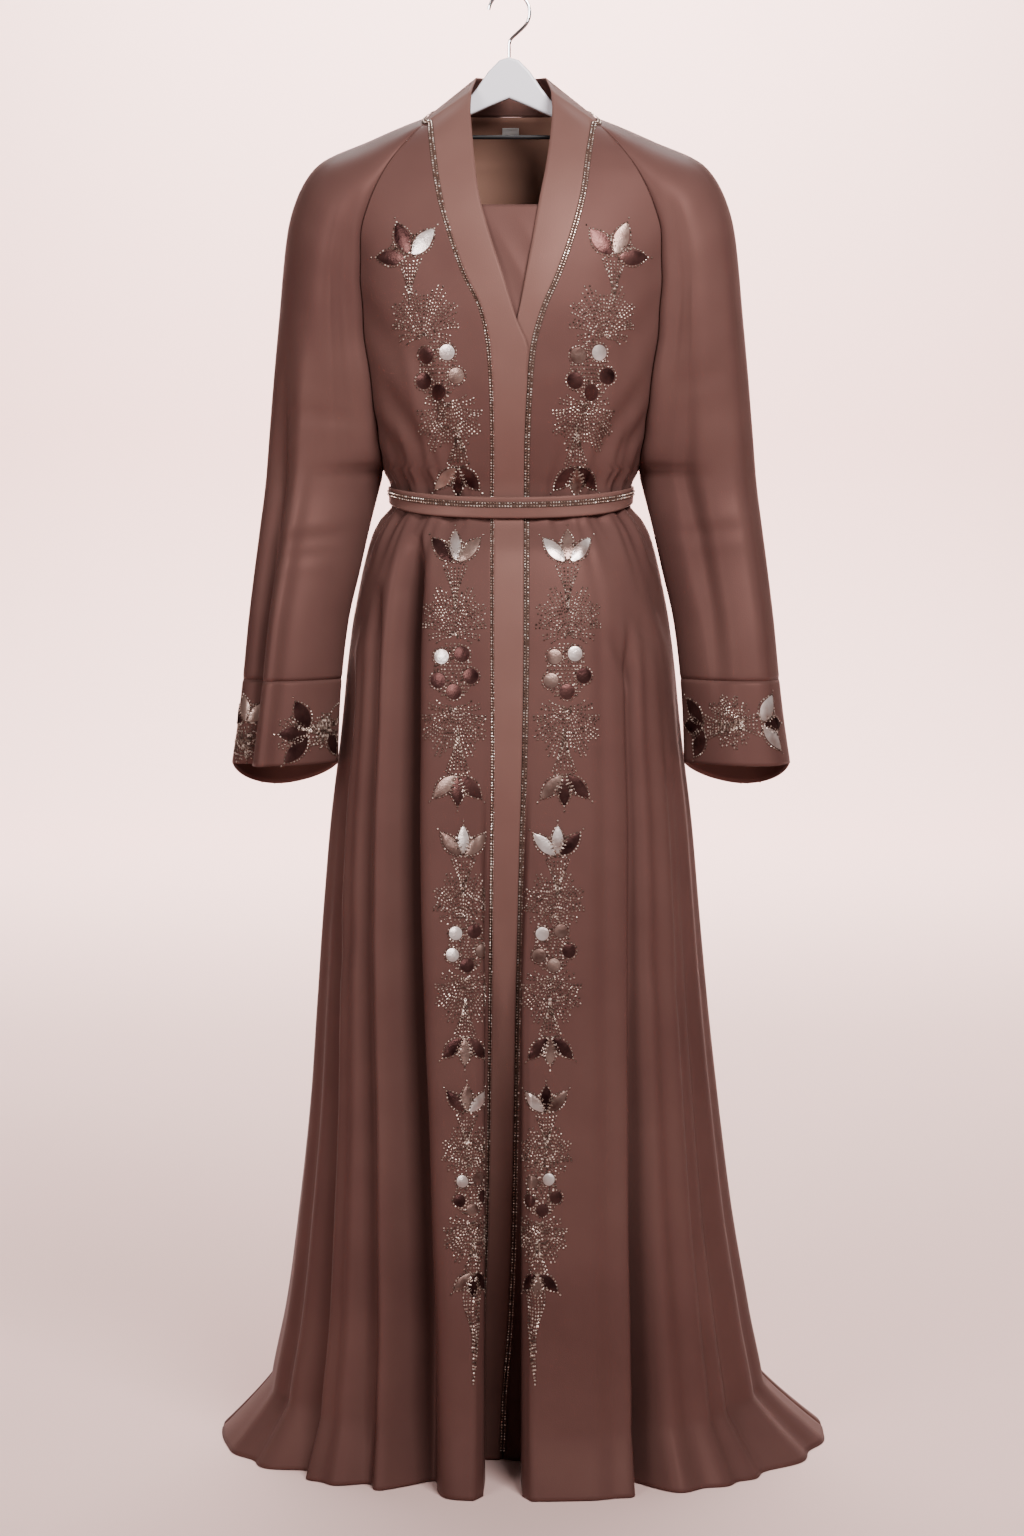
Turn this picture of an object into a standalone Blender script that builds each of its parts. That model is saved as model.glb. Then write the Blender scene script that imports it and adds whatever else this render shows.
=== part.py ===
"""Abaya cloak on a hanger, hung by its hook and standing open at the hem, as if over a dress form.

Metres. +Z is up, -Y is the front, and the origin is the inner top of the hook. The tables below
give heights above the floor, so every point is moved down by HOOK_HEIGHT at the end. "Left" is
the viewer's left (-X). Each cloth piece is a sheet of points between its own seams, and
neighbours share their seam points, so that the thickness grows the same way on both sides.
"""

import math

import bmesh
import bpy
import numpy as np

# Whole garment
HOOK_HEIGHT = 1.538              # inner top of the hook above the floor that the hem rests on
HOOK_X, HOOK_Y = -0.003, 0.006   # where the hook hangs, in the tables' plan
CENTRE_X = -0.001                # middle of the shoulders
WALL = 0.0015                    # cloth
SEAM_PULL = 0.0002               # each piece ends this short of its seam line
ROUNDNESS = 2.3                  # exponent of the body's oval sections
LAP = 0.0034                     # how far the left band stands over the right one
HEM_CLEAR = 0.0004               # hem above the floor

# Body sections: height, half width, depth of front, depth of back, centre shift to the right
SECTIONS = [
    (0.000, 0.272, 0.300, 0.290, 0.006),
    (0.060, 0.265, 0.284, 0.278, 0.006),
    (0.140, 0.249, 0.268, 0.260, 0.006),
    (0.250, 0.232, 0.246, 0.238, 0.004),
    (0.360, 0.219, 0.224, 0.218, 0.003),
    (0.470, 0.209, 0.203, 0.201, 0.001),
    (0.580, 0.200, 0.182, 0.186, 0.000),
    (0.660, 0.193, 0.168, 0.174, 0.000),
    (0.760, 0.181, 0.155, 0.160, 0.000),
    (0.843, 0.173, 0.142, 0.149, 0.000),
    (0.900, 0.164, 0.130, 0.138, 0.000),
    (0.950, 0.153, 0.115, 0.120, 0.000),
    (0.968, 0.147, 0.102, 0.106, 0.000),
    (0.984, 0.138, 0.092, 0.094, 0.000),
    (0.998, 0.127, 0.092, 0.090, 0.000),
    (1.018, 0.127, 0.092, 0.090, 0.000),
    (1.035, 0.136, 0.101, 0.098, 0.000),
    (1.090, 0.150, 0.112, 0.106, 0.000),
    (1.135, 0.160, 0.118, 0.110, 0.000),
    (1.190, 0.172, 0.118, 0.113, 0.000),
    (1.240, 0.184, 0.113, 0.114, 0.000),
    (1.290, 0.198, 0.101, 0.111, 0.000),
    (1.340, 0.207, 0.082, 0.103, 0.000),
    (1.366, 0.192, 0.069, 0.095, 0.000),
    (1.385, 0.143, 0.057, 0.086, 0.000),
    (1.399, 0.108, 0.046, 0.079, 0.000),
    (1.415, 0.087, 0.032, 0.072, 0.000),
]
HEIGHTS_BELOW_ARM = [0.0, 0.012, 0.030, 0.055, 0.095, 0.145, 0.205, 0.270, 0.340, 0.415, 0.490, 0.565,
                     0.635, 0.700, 0.760, 0.815, 0.865, 0.910, 0.945, 0.968, 0.984, 0.998, 1.018, 1.035]

# Raglan seam: height, distance from the centre line
RAGLAN = [(1.035, 0.136), (1.090, 0.1435), (1.135, 0.148), (1.180, 0.1545), (1.250, 0.1585),
          (1.282, 0.1565), (1.314, 0.148), (1.351, 0.130), (1.386, 0.103), (1.399, 0.0905), (1.415, 0.075)]

# Seams of the two front bands: height, x of the left one, x of the right one
BAND_SEAMS = [
    (0.00, -0.0320, -0.0110), (0.06, -0.0315, -0.0090), (0.15, -0.0300, -0.0020),
    (0.25, -0.0265, 0.0020), (0.36, -0.0245, 0.0040), (0.48, -0.0230, 0.0060),
    (0.62, -0.0215, 0.0090), (0.73, -0.0205, 0.0120), (0.85, -0.0210, 0.0140),
    (1.00, -0.0215, 0.0145), (1.06, -0.0210, 0.0150), (1.11, -0.0220, 0.0170), (1.16, -0.0250, 0.0210),
    (1.20, -0.0330, 0.0315), (1.236, -0.0505, 0.0470), (1.282, -0.0665, 0.0630), (1.323, -0.0775, 0.0735),
    (1.366, -0.0840, 0.0795), (1.399, -0.0875, 0.0855),
]

# Free edges of the bands from the lap up to the side of the neck: height of the seam, height of
# the edge, x of the left band's edge, x of the right band's edge, y of both
BAND_EDGES = [
    (1.135, 1.135, 0.0150, -0.0125, -0.1180), (1.160, 1.158, 0.0168, -0.0065, -0.1187),
    (1.190, 1.188, 0.0055, 0.0045, -0.1175), (1.235, 1.238, -0.0100, 0.0145, -0.1130),
    (1.270, 1.282, -0.0240, 0.0225, -0.1020), (1.300, 1.322, -0.0345, 0.0295, -0.0885),
    (1.325, 1.352, -0.0385, 0.0355, -0.0750), (1.352, 1.385, -0.0415, 0.0400, -0.0560),
    (1.376, 1.412, -0.0435, 0.0422, -0.0370), (1.399, 1.433, -0.0430, 0.0415, -0.0170),
    (1.410, 1.4505, -0.0380, 0.0360, 0.0120),
]
NECK_TOP = [(0.0, 0.0370, 0.012, 1.4505), (0.5, 0.0300, 0.042, 1.4530), (1.0, 0.0, 0.062, 1.4540)]

# Folds of the skirt, as troughs: angle at the hem and at the top (0 is the front's middle,
# 180 the back's, minus is left), half width in degrees, depth at the hem and at the top, top
# height, and how fast the depth fades upwards
FOLDS = [
    (-17, -34, 3.0, 0.030, 0.012, 0.97, 1.0), (-33, -58, 4.5, 0.012, 0.003, 0.90, 1.2),
    (-52, -74, 5.0, 0.014, 0.003, 0.80, 1.2), (26, 44, 2.4, 0.070, 0.003, 0.88, 3.2),
    (57, 66, 5.5, 0.012, 0.003, 0.75, 1.2), (-100, -96, 6.0, 0.018, 0.000, 0.60, 1.2),
    (102, 98, 6.0, 0.018, 0.000, 0.60, 1.2), (-124, -118, 5.0, 0.024, 0.005, 0.90, 1.2),
    (126, 120, 5.0, 0.024, 0.005, 0.90, 1.2), (-148, -142, 5.0, 0.026, 0.006, 0.92, 1.2),
    (149, 143, 5.0, 0.026, 0.006, 0.92, 1.2), (-171, -168, 4.5, 0.020, 0.006, 0.92, 1.2),
    (170, 167, 4.5, 0.020, 0.006, 0.92, 1.2),
]
# Gathers that the belt holds in: angle, half width, depth
GATHERS = [(-24, 4.5, 0.006), (-42, 4.5, 0.005), (-60, 5.0, 0.007), (-76, 4.0, 0.006), (19, 4.0, 0.005),
           (40, 5.0, 0.005), (59, 4.5, 0.007), (75, 4.5, 0.007), (-108, 6.0, 0.006), (108, 6.0, 0.006),
           (-132, 5.5, 0.006), (132, 5.5, 0.006), (-156, 5.0, 0.006), (156, 5.0, 0.006), (180, 5.0, 0.005)]
GATHER_HEIGHT, GATHER_REACH = 1.0, 0.085
# Trains on the floor: angle, half width in degrees, reach
TRAINS = [(-88, 42, 0.043), (85, 48, 0.056), (180, 60, 0.045), (0, 40, 0.006)]
TRAIN_HEIGHT = 0.060
VALLEY_TOP, VALLEY_DEPTH, VALLEY_POWER = 0.80, 0.165, 1.7   # hollow between the fronts, at the hem
VALLEY_LEFT, VALLEY_RIGHT = -0.0285, 0.0100    # x of the fronts' edges that stand out beside it
EDGE_ZONE = 0.018    # width of the closely spaced columns along each front's band seam
# Those columns down in the hollow: x from the standing edge outwards, share of the hollow's depth
HOLLOW_COLUMNS = [(0.0015, 0.94), (-0.0010, 0.50), (0.0005, 0.12), (0.0095, 0.0)]

# Sleeves above the underarm: height of the front seam, of the back seam, distance and height of
# the shoulder line, bulge of the arm
SHOULDER = [
    (1.399, 1.415, 0.0895, 1.4085, 0.000), (1.352, 1.364, 0.1500, 1.3835, 0.006),
    (1.300, 1.302, 0.2070, 1.3550, 0.017), (1.235, 1.235, 0.2355, 1.2950, 0.028),
    (1.160, 1.160, 0.2470, 1.1900, 0.038), (1.090, 1.090, 0.2555, 1.0980, 0.045),
    (1.035, 1.035, 0.2610, 1.0300, 0.049),
]
SHOULDER_STEPS = 10
# Sleeves below it: height, inner side, outer side, middle in y, half depth, drop of the back
ARM = [
    (1.030, 0.1365, 0.2610, 0.000, 0.049, 0.000), (0.985, 0.1480, 0.2660, -0.010, 0.051, 0.000),
    (0.930, 0.1600, 0.2725, -0.024, 0.053, 0.000), (0.876, 0.1720, 0.2785, -0.036, 0.055, 0.000),
    (0.815, 0.1790, 0.2840, -0.046, 0.057, 0.000), (0.775, 0.1815, 0.2885, -0.050, 0.060, 0.008),
    (0.727, 0.1830, 0.2955, -0.052, 0.066, 0.028),
]
CUFF_SEAM, CUFF_HEM = 0.815, 0.727
# Sleeve folds, as troughs: side, place round the sleeve (0 front seam, 0.5 outside), half width,
# depth, height of the middle, half height
SLEEVE_FOLDS = [
    (-1, 0.275, 0.035, -0.010, 0.80, 0.34), (-1, 0.38, 0.050, 0.012, 0.80, 0.34),
    (-1, 0.10, 0.045, 0.010, 1.16, 0.16), (1, 0.10, 0.045, 0.010, 1.14, 0.18),
    (1, 0.16, 0.040, 0.008, 0.98, 0.20), (1, 0.33, 0.050, -0.005, 0.95, 0.35),
    (-1, 0.80, 0.060, 0.010, 1.00, 0.30), (1, 0.80, 0.060, 0.010, 1.00, 0.30),
]

# Belt: height of its middle at the back, depth there, wall, how much lower and deeper the front is,
# gap to the cloth, and half width of the stretch that passes over the lapped bands
BELT_MIDDLE, BELT_DEPTH, BELT_WALL, BELT_DIP, BELT_MORE = 1.0090, 0.0180, 0.0024, 0.0135, 0.0045
BELT_GAP, BELT_OVER_BANDS = 0.0008, 0.035
# Chest panel: height of its top and bottom, half width at each, distance behind the fronts
PANEL_TOP, PANEL_BOTTOM, PANEL_HALF, PANEL_HALF_LOW, PANEL_BEHIND = 1.3095, 1.020, 0.052, 0.022, 0.0026
LABEL_SIZE, LABEL_WALL, LABEL_HEIGHT, LABEL_X = (0.018, 0.0075), 0.0006, 1.3995, -0.0015

HANGER_DEPTH, HANGER_BEVEL = 0.012, 0.003
# Hanger outline on one side: distance from the middle, top, underside
HANGER = [(0.000, 1.4708, 1.4279), (0.010, 1.4680, 1.4240), (0.022, 1.4560, 1.4190), (0.034, 1.4385, 1.4135),
          (0.046, 1.4235, 1.4085), (0.075, 1.4095, 1.3965), (0.110, 1.3958, 1.3830), (0.150, 1.3798, 1.3680),
          (0.176, 1.3688, 1.3585), (0.184, 1.3640, 1.3590)]
WIRE, HOOK_RADIUS = 0.0018, 0.0218
BAR_RADIUS, BAR_HALF, BAR_HEIGHT = 0.0023, 0.092, 1.3873

COLOURS = {
    "satin": ((0.205, 0.108, 0.088), 0.42, 0.0), "band": ((0.235, 0.128, 0.102), 0.42, 0.0),
    "label": ((0.83, 0.82, 0.80), 0.60, 0.0), "paint": ((0.72, 0.72, 0.84), 0.30, 0.0),
    "chrome": ((0.75, 0.76, 0.78), 0.12, 1.0), "bar": ((0.020, 0.020, 0.022), 0.35, 0.0),
}


def column(table, index):
    return np.array([row[index] for row in table], float)


def follow(xs, ys, x):
    """A smooth line through the table's points that never overshoots them."""
    xs, ys, x = np.asarray(xs, float), np.asarray(ys, float), np.clip(x, xs[0], xs[-1])
    step = np.diff(xs)
    slope = np.diff(ys) / step
    tangent = np.zeros(len(xs))
    tangent[0], tangent[-1] = slope[0], slope[-1]
    for i in range(1, len(xs) - 1):
        if slope[i - 1] * slope[i] > 0:
            tangent[i] = 2 / (1 / slope[i - 1] + 1 / slope[i])
    i = np.clip(np.searchsorted(xs, x, side="right") - 1, 0, len(step) - 1)
    t, h = (x - xs[i]) / step[i], step[i]
    return ((2 * t**3 - 3 * t**2 + 1) * ys[i] + (t**3 - 2 * t**2 + t) * h * tangent[i]
            + (3 * t**2 - 2 * t**3) * ys[i + 1] + (t**3 - t**2) * h * tangent[i + 1])


def lookup(table, value, index, rising=True):
    rows = table if rising else table[::-1]
    return follow(column(rows, 0), column(rows, index), value)


def section(height):
    return [lookup(SECTIONS, height, i) for i in (1, 2, 3, 4)]


def angle_of(distance, height):
    """The angle at which the oval section is this far from its own middle."""
    half = section(height)[0]
    return np.arcsin(np.clip(distance / half, 0.0, 1.0) ** (ROUNDNESS / 2))


def turn_between(a, b):
    return (a - b + 180) % 360 - 180


def fold_angle(fold, height):
    share = np.clip(height / fold[5], 0, 1)
    return fold[0] + (fold[1] - fold[0]) * share


def inset(degrees, height):
    """How far the folds, gathers and trains move the cloth in at this place."""
    moved = np.zeros_like(degrees)
    for fold in FOLDS:
        _, _, width, hem, top, top_height, fade = fold
        if height < top_height:
            share = (1 - height / top_height) ** fade
            depth = (top + (hem - top) * share) * min(1.0, (top_height - height) / 0.06)
            moved += depth * np.exp(-(turn_between(degrees, fold_angle(fold, height)) / width) ** 2)
    near = max(0.0, 1 - abs(height - GATHER_HEIGHT) / GATHER_REACH)
    for angle, width, depth in GATHERS:
        moved += depth * near**1.3 * np.exp(-(turn_between(degrees, angle) / width) ** 2)
    low = max(0.0, 1 - height / TRAIN_HEIGHT) ** 1.15
    for angle, width, reach in TRAINS:
        moved -= reach * low * np.exp(-(turn_between(degrees, angle) / width) ** 2)
    return moved


def body_points(angle, height):
    """Points of the outside of the body at signed angles in radians, 0 at the front's middle."""
    half, front, back, shift = section(height)
    s, c = np.sin(angle), np.cos(angle)
    power = 2 / ROUNDNESS
    x = half * np.sign(s) * np.abs(s) ** power
    y = -np.where(c > 0, front, back) * np.sign(c) * np.abs(c) ** power
    moved = inset(np.degrees(angle), height)
    x, y = x - moved * s, y + moved * c
    return np.stack([x + CENTRE_X + shift, y, np.full_like(x, height)], axis=-1)


def valley(height):
    return VALLEY_DEPTH * max(0.0, 1 - height / VALLEY_TOP) ** VALLEY_POWER


def crowded(lo, hi, count, height):
    """Angles from lo to hi that lie closer together at the folds."""
    fine = np.linspace(lo, hi, 400)
    weight = np.ones_like(fine)
    for fold in FOLDS:
        strength = 2.6 * min(1.0, fold[3] / 0.03) * max(0.0, 1 - height / fold[5])
        near = turn_between(np.degrees(fine), fold_angle(fold, height)) / (1.6 * fold[2])
        weight += strength * np.exp(-near**2)
    total = np.concatenate([[0], np.cumsum((weight[1:] + weight[:-1]) / 2)])
    return np.interp(np.linspace(0, total[-1], count), total, fine)


def front_row(side, height, edge_columns, columns):
    """One level of a front, from the band seam out to the side seam or raglan seam."""
    shift = section(height)[3] + CENTRE_X
    seam_x = lookup(BAND_SEAMS, height, 1 if side < 0 else 2)
    inner = side * (seam_x - shift)
    outer = lookup(RAGLAN, height, 1) if height > RAGLAN[0][0] else section(height)[0]
    zone = min(EDGE_ZONE, 0.25 * (outer - inner))
    share = np.linspace(0, 1, edge_columns + 1)
    even = inner + zone * share
    stands = side * ((VALLEY_LEFT if side < 0 else VALLEY_RIGHT) - shift)
    marks = np.linspace(0, 1, len(HOLLOW_COLUMNS) + 1)
    spots = np.array([inner] + [stands + x for x, _ in HOLLOW_COLUMNS])
    spots[1] = max(spots[1], inner + 0.0008)
    hollow = np.interp(share, marks, spots)
    depth = np.interp(share, marks, [1.0] + [d for _, d in HOLLOW_COLUMNS])
    low = np.clip((VALLEY_TOP - 0.05 - height) / 0.25, 0, 1)
    xs = even + (hollow - even) * low
    rest = crowded(side * angle_of(xs[-1], height), side * angle_of(outer, height), columns, height)
    row = body_points(np.concatenate([side * angle_of(np.abs(xs[:-1]), height), rest]), height)
    row[:edge_columns, 0] = side * xs[:-1] + shift
    even_depth = (1 - share) ** 2 * (1 + 2 * share)
    row[:edge_columns + 1, 1] += valley(height) * (even_depth + (depth - even_depth) * low)
    return row


def shoulder_rows(index):
    steps = np.linspace(0, len(SHOULDER) - 1, SHOULDER_STEPS + 1)
    return follow(range(len(SHOULDER)), column(SHOULDER, index), steps)


def front_sheet(side):
    heights = HEIGHTS_BELOW_ARM + list(shoulder_rows(0)[-2::-1])
    return np.array([front_row(side, max(h, HEM_CLEAR), 4, 15) for h in heights])


def back_sheet():
    heights = HEIGHTS_BELOW_ARM + list(shoulder_rows(1)[-2::-1])
    rows = []
    for height in heights:
        level = max(height, HEM_CLEAR)
        above = height > RAGLAN[0][0]
        side = math.pi - angle_of(lookup(RAGLAN, height, 1), height) if above else math.pi / 2
        rows.append(body_points(crowded(side, 2 * math.pi - side, 25, level), level))
    return np.array(rows)


def sleeve_fold(side, place, height):
    moved = np.zeros_like(place)
    for which, middle, width, depth, centre, reach in SLEEVE_FOLDS:
        if which == side:
            near = max(0.0, 1 - ((height - centre) / reach) ** 2)
            moved += depth * near * np.exp(-((place - middle) / width) ** 2)
    return moved


def ring(side, place, front, back, outer_x, outer_h, bulge, drop=0.0):
    """One turn of a sleeve, from its front seam point over the outside to its back seam point."""
    out, across = np.clip(np.sin(math.pi * place), 0, 1) ** 1.4, (1 - np.cos(math.pi * place)) / 2
    middle = (front + back) / 2
    points = front + (back - front) * across[:, None]
    turn = np.sin(2 * math.pi * place), -np.cos(2 * math.pi * place)
    points[:, 0] += (side * outer_x + CENTRE_X - middle[0]) * out
    points[:, 2] += (outer_h - middle[2]) * out - drop * np.clip(-turn[0], 0, 1)
    inward = sleeve_fold(side, place, middle[2])
    points[:, 0] -= side * inward * turn[1] * (out > 0.3)
    points[:, 1] += (inward - bulge) * turn[0]
    return points


def sleeve_sheets(side, turns=21, arm_steps=7, cuff_steps=4):
    """Sleeve and cuff. Rows down to the underarm are open; below it the last column is the first."""
    place = np.linspace(0, 1, turns)
    rows = []
    for front_h, back_h, x, h, bulge in zip(*[shoulder_rows(i) for i in range(5)]):
        reach_front = side * angle_of(lookup(RAGLAN, front_h, 1), front_h)
        reach_back = side * (math.pi - angle_of(lookup(RAGLAN, back_h, 1), back_h))
        front = body_points(np.array([reach_front]), front_h)[0]
        back = body_points(np.array([reach_back]), back_h)[0]
        rows.append(ring(side, place, front, back, x, h, bulge))
    levels = np.linspace(ARM[0][0], CUFF_SEAM, arm_steps + 1)[1:]
    cuff_levels = np.linspace(CUFF_SEAM, CUFF_HEM, cuff_steps + 1)
    below = []
    for height in np.concatenate([levels, cuff_levels[1:]]):
        inner, outer, middle, bulge, drop = [lookup(ARM, height, i, rising=False) for i in range(1, 6)]
        seam = np.array([side * inner + CENTRE_X, middle, height])
        below.append(ring(side, place, seam, seam, outer, height, bulge, drop))
    sleeve = np.array(rows + below[:arm_steps])
    cuff = np.array(below[arm_steps - 1:])
    return sleeve, cuff, len(rows) - 1


def band_sheet(side, front, sleeve, columns=5):
    """Band from the hem to the side of the neck, between its seam and its free edge."""
    middle = sleeve.shape[1] // 2
    seam = np.concatenate([front[:, 0], sleeve[0, :middle + 1]])
    rows = []
    for i, start in enumerate(seam):
        neck_share = max(0, i - len(front)) / middle
        station = start[2] if i < len(front) else 1.399 + 0.011 * neck_share
        height = max(start[2], HEM_CLEAR)
        if station < BAND_EDGES[0][0]:
            left, right = (lookup(BAND_SEAMS, height, k) for k in (1, 2))
            lying = -lookup(SECTIONS, height, 2) + valley(height) + inset(np.array([0.0]), height)[0]
            end = np.array([right - 0.0022 if side < 0 else left + 0.0085, lying, height])
        else:
            end = np.array([lookup(BAND_EDGES, station, 2 if side < 0 else 3),
                            lookup(BAND_EDGES, station, 4), lookup(BAND_EDGES, station, 1)])
        share = np.linspace(0, 1, columns)[:, None]
        row = start + (end - start) * share
        over = np.clip((1.36 - station) / 0.12, 0, 1) if side < 0 else 0.0
        row[1:, 1] -= LAP * over
        row[1:-1] += np.array([0, -0.0006, 0.0006]) * (1.2 < station < 1.39)
        rows.append(row)
    return np.array(rows)


def neck_sheet(left, right, back, columns=5):
    """Band round the back of the neck, from one shoulder line to the other."""
    middle = left.shape[1] // 2
    seam = np.concatenate([left[0, middle:], back[-1, ::-1][1:-1], right[0, middle:][::-1]])
    place = np.concatenate([[0], np.cumsum(np.linalg.norm(np.diff(seam, axis=0), axis=1))])
    place = place / place[-1] * 2 - 1
    rows = []
    for start, p in zip(seam, place):
        away = 1 - abs(p)
        end = np.array([lookup(NECK_TOP, away, 1) * np.sign(p) + CENTRE_X,
                        lookup(NECK_TOP, away, 2), lookup(NECK_TOP, away, 3)])
        rows.append(start + (end - start) * np.linspace(0, 1, columns)[:, None])
    return np.array(rows)


def front_surface(x, height, behind):
    """A point inside the fronts, at this distance behind their outer face."""
    half, front = section(height)[:2]
    lying = front * (1 - min(1.0, abs(x - CENTRE_X) / half) ** ROUNDNESS) ** (1 / ROUNDNESS)
    return np.array([x, -lying + behind, height])


def panel_sheet(columns=7, rows=12):
    """The straight-topped piece inside the V, sewn to both bands' undersides."""
    sheet = []
    for height in np.linspace(PANEL_BOTTOM, PANEL_TOP, rows):
        half = np.interp(height, (PANEL_BOTTOM, PANEL_TOP), (PANEL_HALF_LOW, PANEL_HALF))
        xs = np.linspace(-half, half, columns) + CENTRE_X
        sheet.append([front_surface(x, height, WALL + PANEL_BEHIND) for x in xs])
    return np.array(sheet)


def belt_sheet(columns=72):
    """Belt round the gathered waist, lower and deeper at the front, where it passes over the bands."""
    angle = np.linspace(0, 2 * math.pi, columns + 1)
    s, c = np.sin(angle), np.cos(angle)
    low, power = np.clip(c, 0, 1) ** 1.3, 2 / ROUNDNESS
    waist = section(GATHER_HEIGHT)
    rows = []
    for level in (-0.5, 0.0, 0.5):
        height = BELT_MIDDLE - BELT_DIP * low + (BELT_DEPTH + BELT_MORE * low) * level
        half, front, back = [np.maximum(lookup(SECTIONS, height, i + 1), waist[i]) + BELT_GAP + BELT_WALL
                             for i in range(3)]
        x = half * np.sign(s) * np.abs(s) ** power
        y = -np.where(c > 0, front, back) * np.sign(c) * np.abs(c) ** power
        y -= (LAP + 0.4 * WALL) * np.exp(-((x / BELT_OVER_BANDS) ** 4)) * (c > 0)
        rows.append(np.stack([x + CENTRE_X, y, height], axis=-1))
    return np.array(rows)


def face_rows(rows, columns, closed_from=None, flip=False):
    """Point numbers and faces of a grid. From row closed_from down, its last column is its first."""
    number = np.arange(rows * columns).reshape(rows, columns)
    if closed_from is not None:
        number[closed_from:, -1] = number[closed_from:, 0]
    faces = []
    for r in range(rows - 1):
        for c in range(columns - 1):
            face = [number[r, c], number[r, c + 1], number[r + 1, c + 1], number[r + 1, c]]
            faces.append(face[::-1] if flip else face)
    return faces


def key(point):
    return tuple(np.round(point * 1e5).astype(int))


def seam_normals(sheets):
    """Outward direction at each point, shared by all pieces that meet there."""
    total = {}
    for sheet, faces in sheets.values():
        points = sheet.reshape(-1, 3)
        for face in faces:
            corners = points[face]
            normal = np.cross(corners[2] - corners[0], corners[3] - corners[1])
            for corner in corners:
                total[key(corner)] = total.get(key(corner), np.zeros(3)) + normal
    return {k: n / max(np.linalg.norm(n), 1e-12) for k, n in total.items()}


def pull(sheet, closed):
    """Ends the sheet just short of its seams."""
    pulled = sheet.copy()
    borders = [((0, slice(None)), (1, slice(None))), ((-1, slice(None)), (-2, slice(None)))]
    open_rows = slice(None) if closed is None else slice(0, closed)
    borders += [((open_rows, 0), (open_rows, 1)), ((open_rows, -1), (open_rows, -2))]
    for edge, inner in borders:
        way = sheet[inner] - sheet[edge]
        length = np.maximum(np.linalg.norm(way, axis=-1, keepdims=True), 1e-9)
        pulled[edge] += way / length * np.minimum(SEAM_PULL, 0.2 * length)
    return pulled


def material(name):
    found = bpy.data.materials.get(name)
    if found:
        return found
    colour, roughness, metallic = COLOURS[name]
    made = bpy.data.materials.new(name)
    made.use_nodes = True
    shader = made.node_tree.nodes["Principled BSDF"]
    shader.inputs["Base Color"].default_value = (*colour, 1)
    shader.inputs["Roughness"].default_value = roughness
    shader.inputs["Metallic"].default_value = metallic
    return made


def add_object(name, points, faces, finish, parent):
    """A named mesh object; points are in the tables' plan, heights above the floor."""
    moved = np.asarray(points, float) - np.array([HOOK_X, HOOK_Y, HOOK_HEIGHT])
    mesh = bpy.data.meshes.new(name)
    mesh.from_pydata([tuple(p) for p in moved], [], [tuple(int(i) for i in f) for f in faces])
    mesh.materials.append(material(finish))
    mesh.update()
    obj = bpy.data.objects.new(name, mesh)
    obj.parent = parent
    bpy.context.scene.collection.objects.link(obj)
    return obj


def thicken(points, faces, normals, wall, seams):
    """Closes a sheet into a wall: the same faces inside, and a rim along every open edge.

    The rim's triangles start from the same end of each seam edge in both pieces that meet there.
    """
    count = len(points)
    solid = np.concatenate([points, points - normals * wall])
    sides = {(a, b) for face in faces for a, b in zip(face, face[1:] + face[:1])}
    rim = []
    for a, b in sorted(sides):
        if (b, a) not in sides:
            if key(seams[a]) < key(seams[b]):
                rim += [[b, a, b + count], [a, a + count, b + count]]
            else:
                rim += [[b, a, a + count], [b, a + count, b + count]]
    return solid, faces + [[i + count for i in face[::-1]] for face in faces] + rim


def used_only(points, faces):
    used = sorted({i for face in faces for i in face})
    place = {old: new for new, old in enumerate(used)}
    return points[used], [[place[i] for i in face] for face in faces]


def cloth_pieces(parent):
    fronts = {side: front_sheet(side) for side in (-1, 1)}
    back = back_sheet()
    arms = {side: sleeve_sheets(side) for side in (-1, 1)}
    sheets, closed = {}, {}
    for side, name in ((-1, "left"), (1, "right")):
        sleeve, cuff, join = arms[side]
        turned = side < 0
        sheets["front_" + name] = (fronts[side], turned)
        sheets["sleeve_" + name] = (sleeve, not turned)
        sheets["cuff_" + name] = (cuff, not turned)
        sheets["band_" + name] = (band_sheet(side, fronts[side], sleeve), not turned)
        closed["sleeve_" + name], closed["cuff_" + name] = join, 0
    sheets["back"] = (back, False)
    sheets["band_neck"] = (neck_sheet(arms[-1][0], arms[1][0], back), True)
    sheets["chest_panel"] = (panel_sheet(), False)
    built = {}
    for name, (sheet, flip) in sheets.items():
        rows, columns = sheet.shape[:2]
        built[name] = (sheet, face_rows(rows, columns, closed.get(name), flip))
    normals = seam_normals(built)
    for name, (sheet, faces) in built.items():
        points = sheet.reshape(-1, 3)
        out = np.array([normals.get(key(p), np.zeros(3)) for p in points])
        ended = pull(sheet, closed.get(name)).reshape(-1, 3)
        solid, solid_faces = thicken(ended, faces, out, WALL, points)
        add_object(name, *used_only(solid, solid_faces), "band" if "band" in name else "satin", parent)


def belt_piece(parent):
    sheet = belt_sheet()
    faces = face_rows(*sheet.shape[:2], closed_from=0)
    normals = seam_normals({"belt": (sheet, faces)})
    points = sheet.reshape(-1, 3)
    out = np.array([normals.get(key(p), np.zeros(3)) for p in points])
    out[:, 2] = 0
    out /= np.maximum(np.linalg.norm(out, axis=1, keepdims=True), 1e-9)
    add_object("belt", *used_only(*thicken(points, faces, out, BELT_WALL, points)), "satin", parent)


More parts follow.
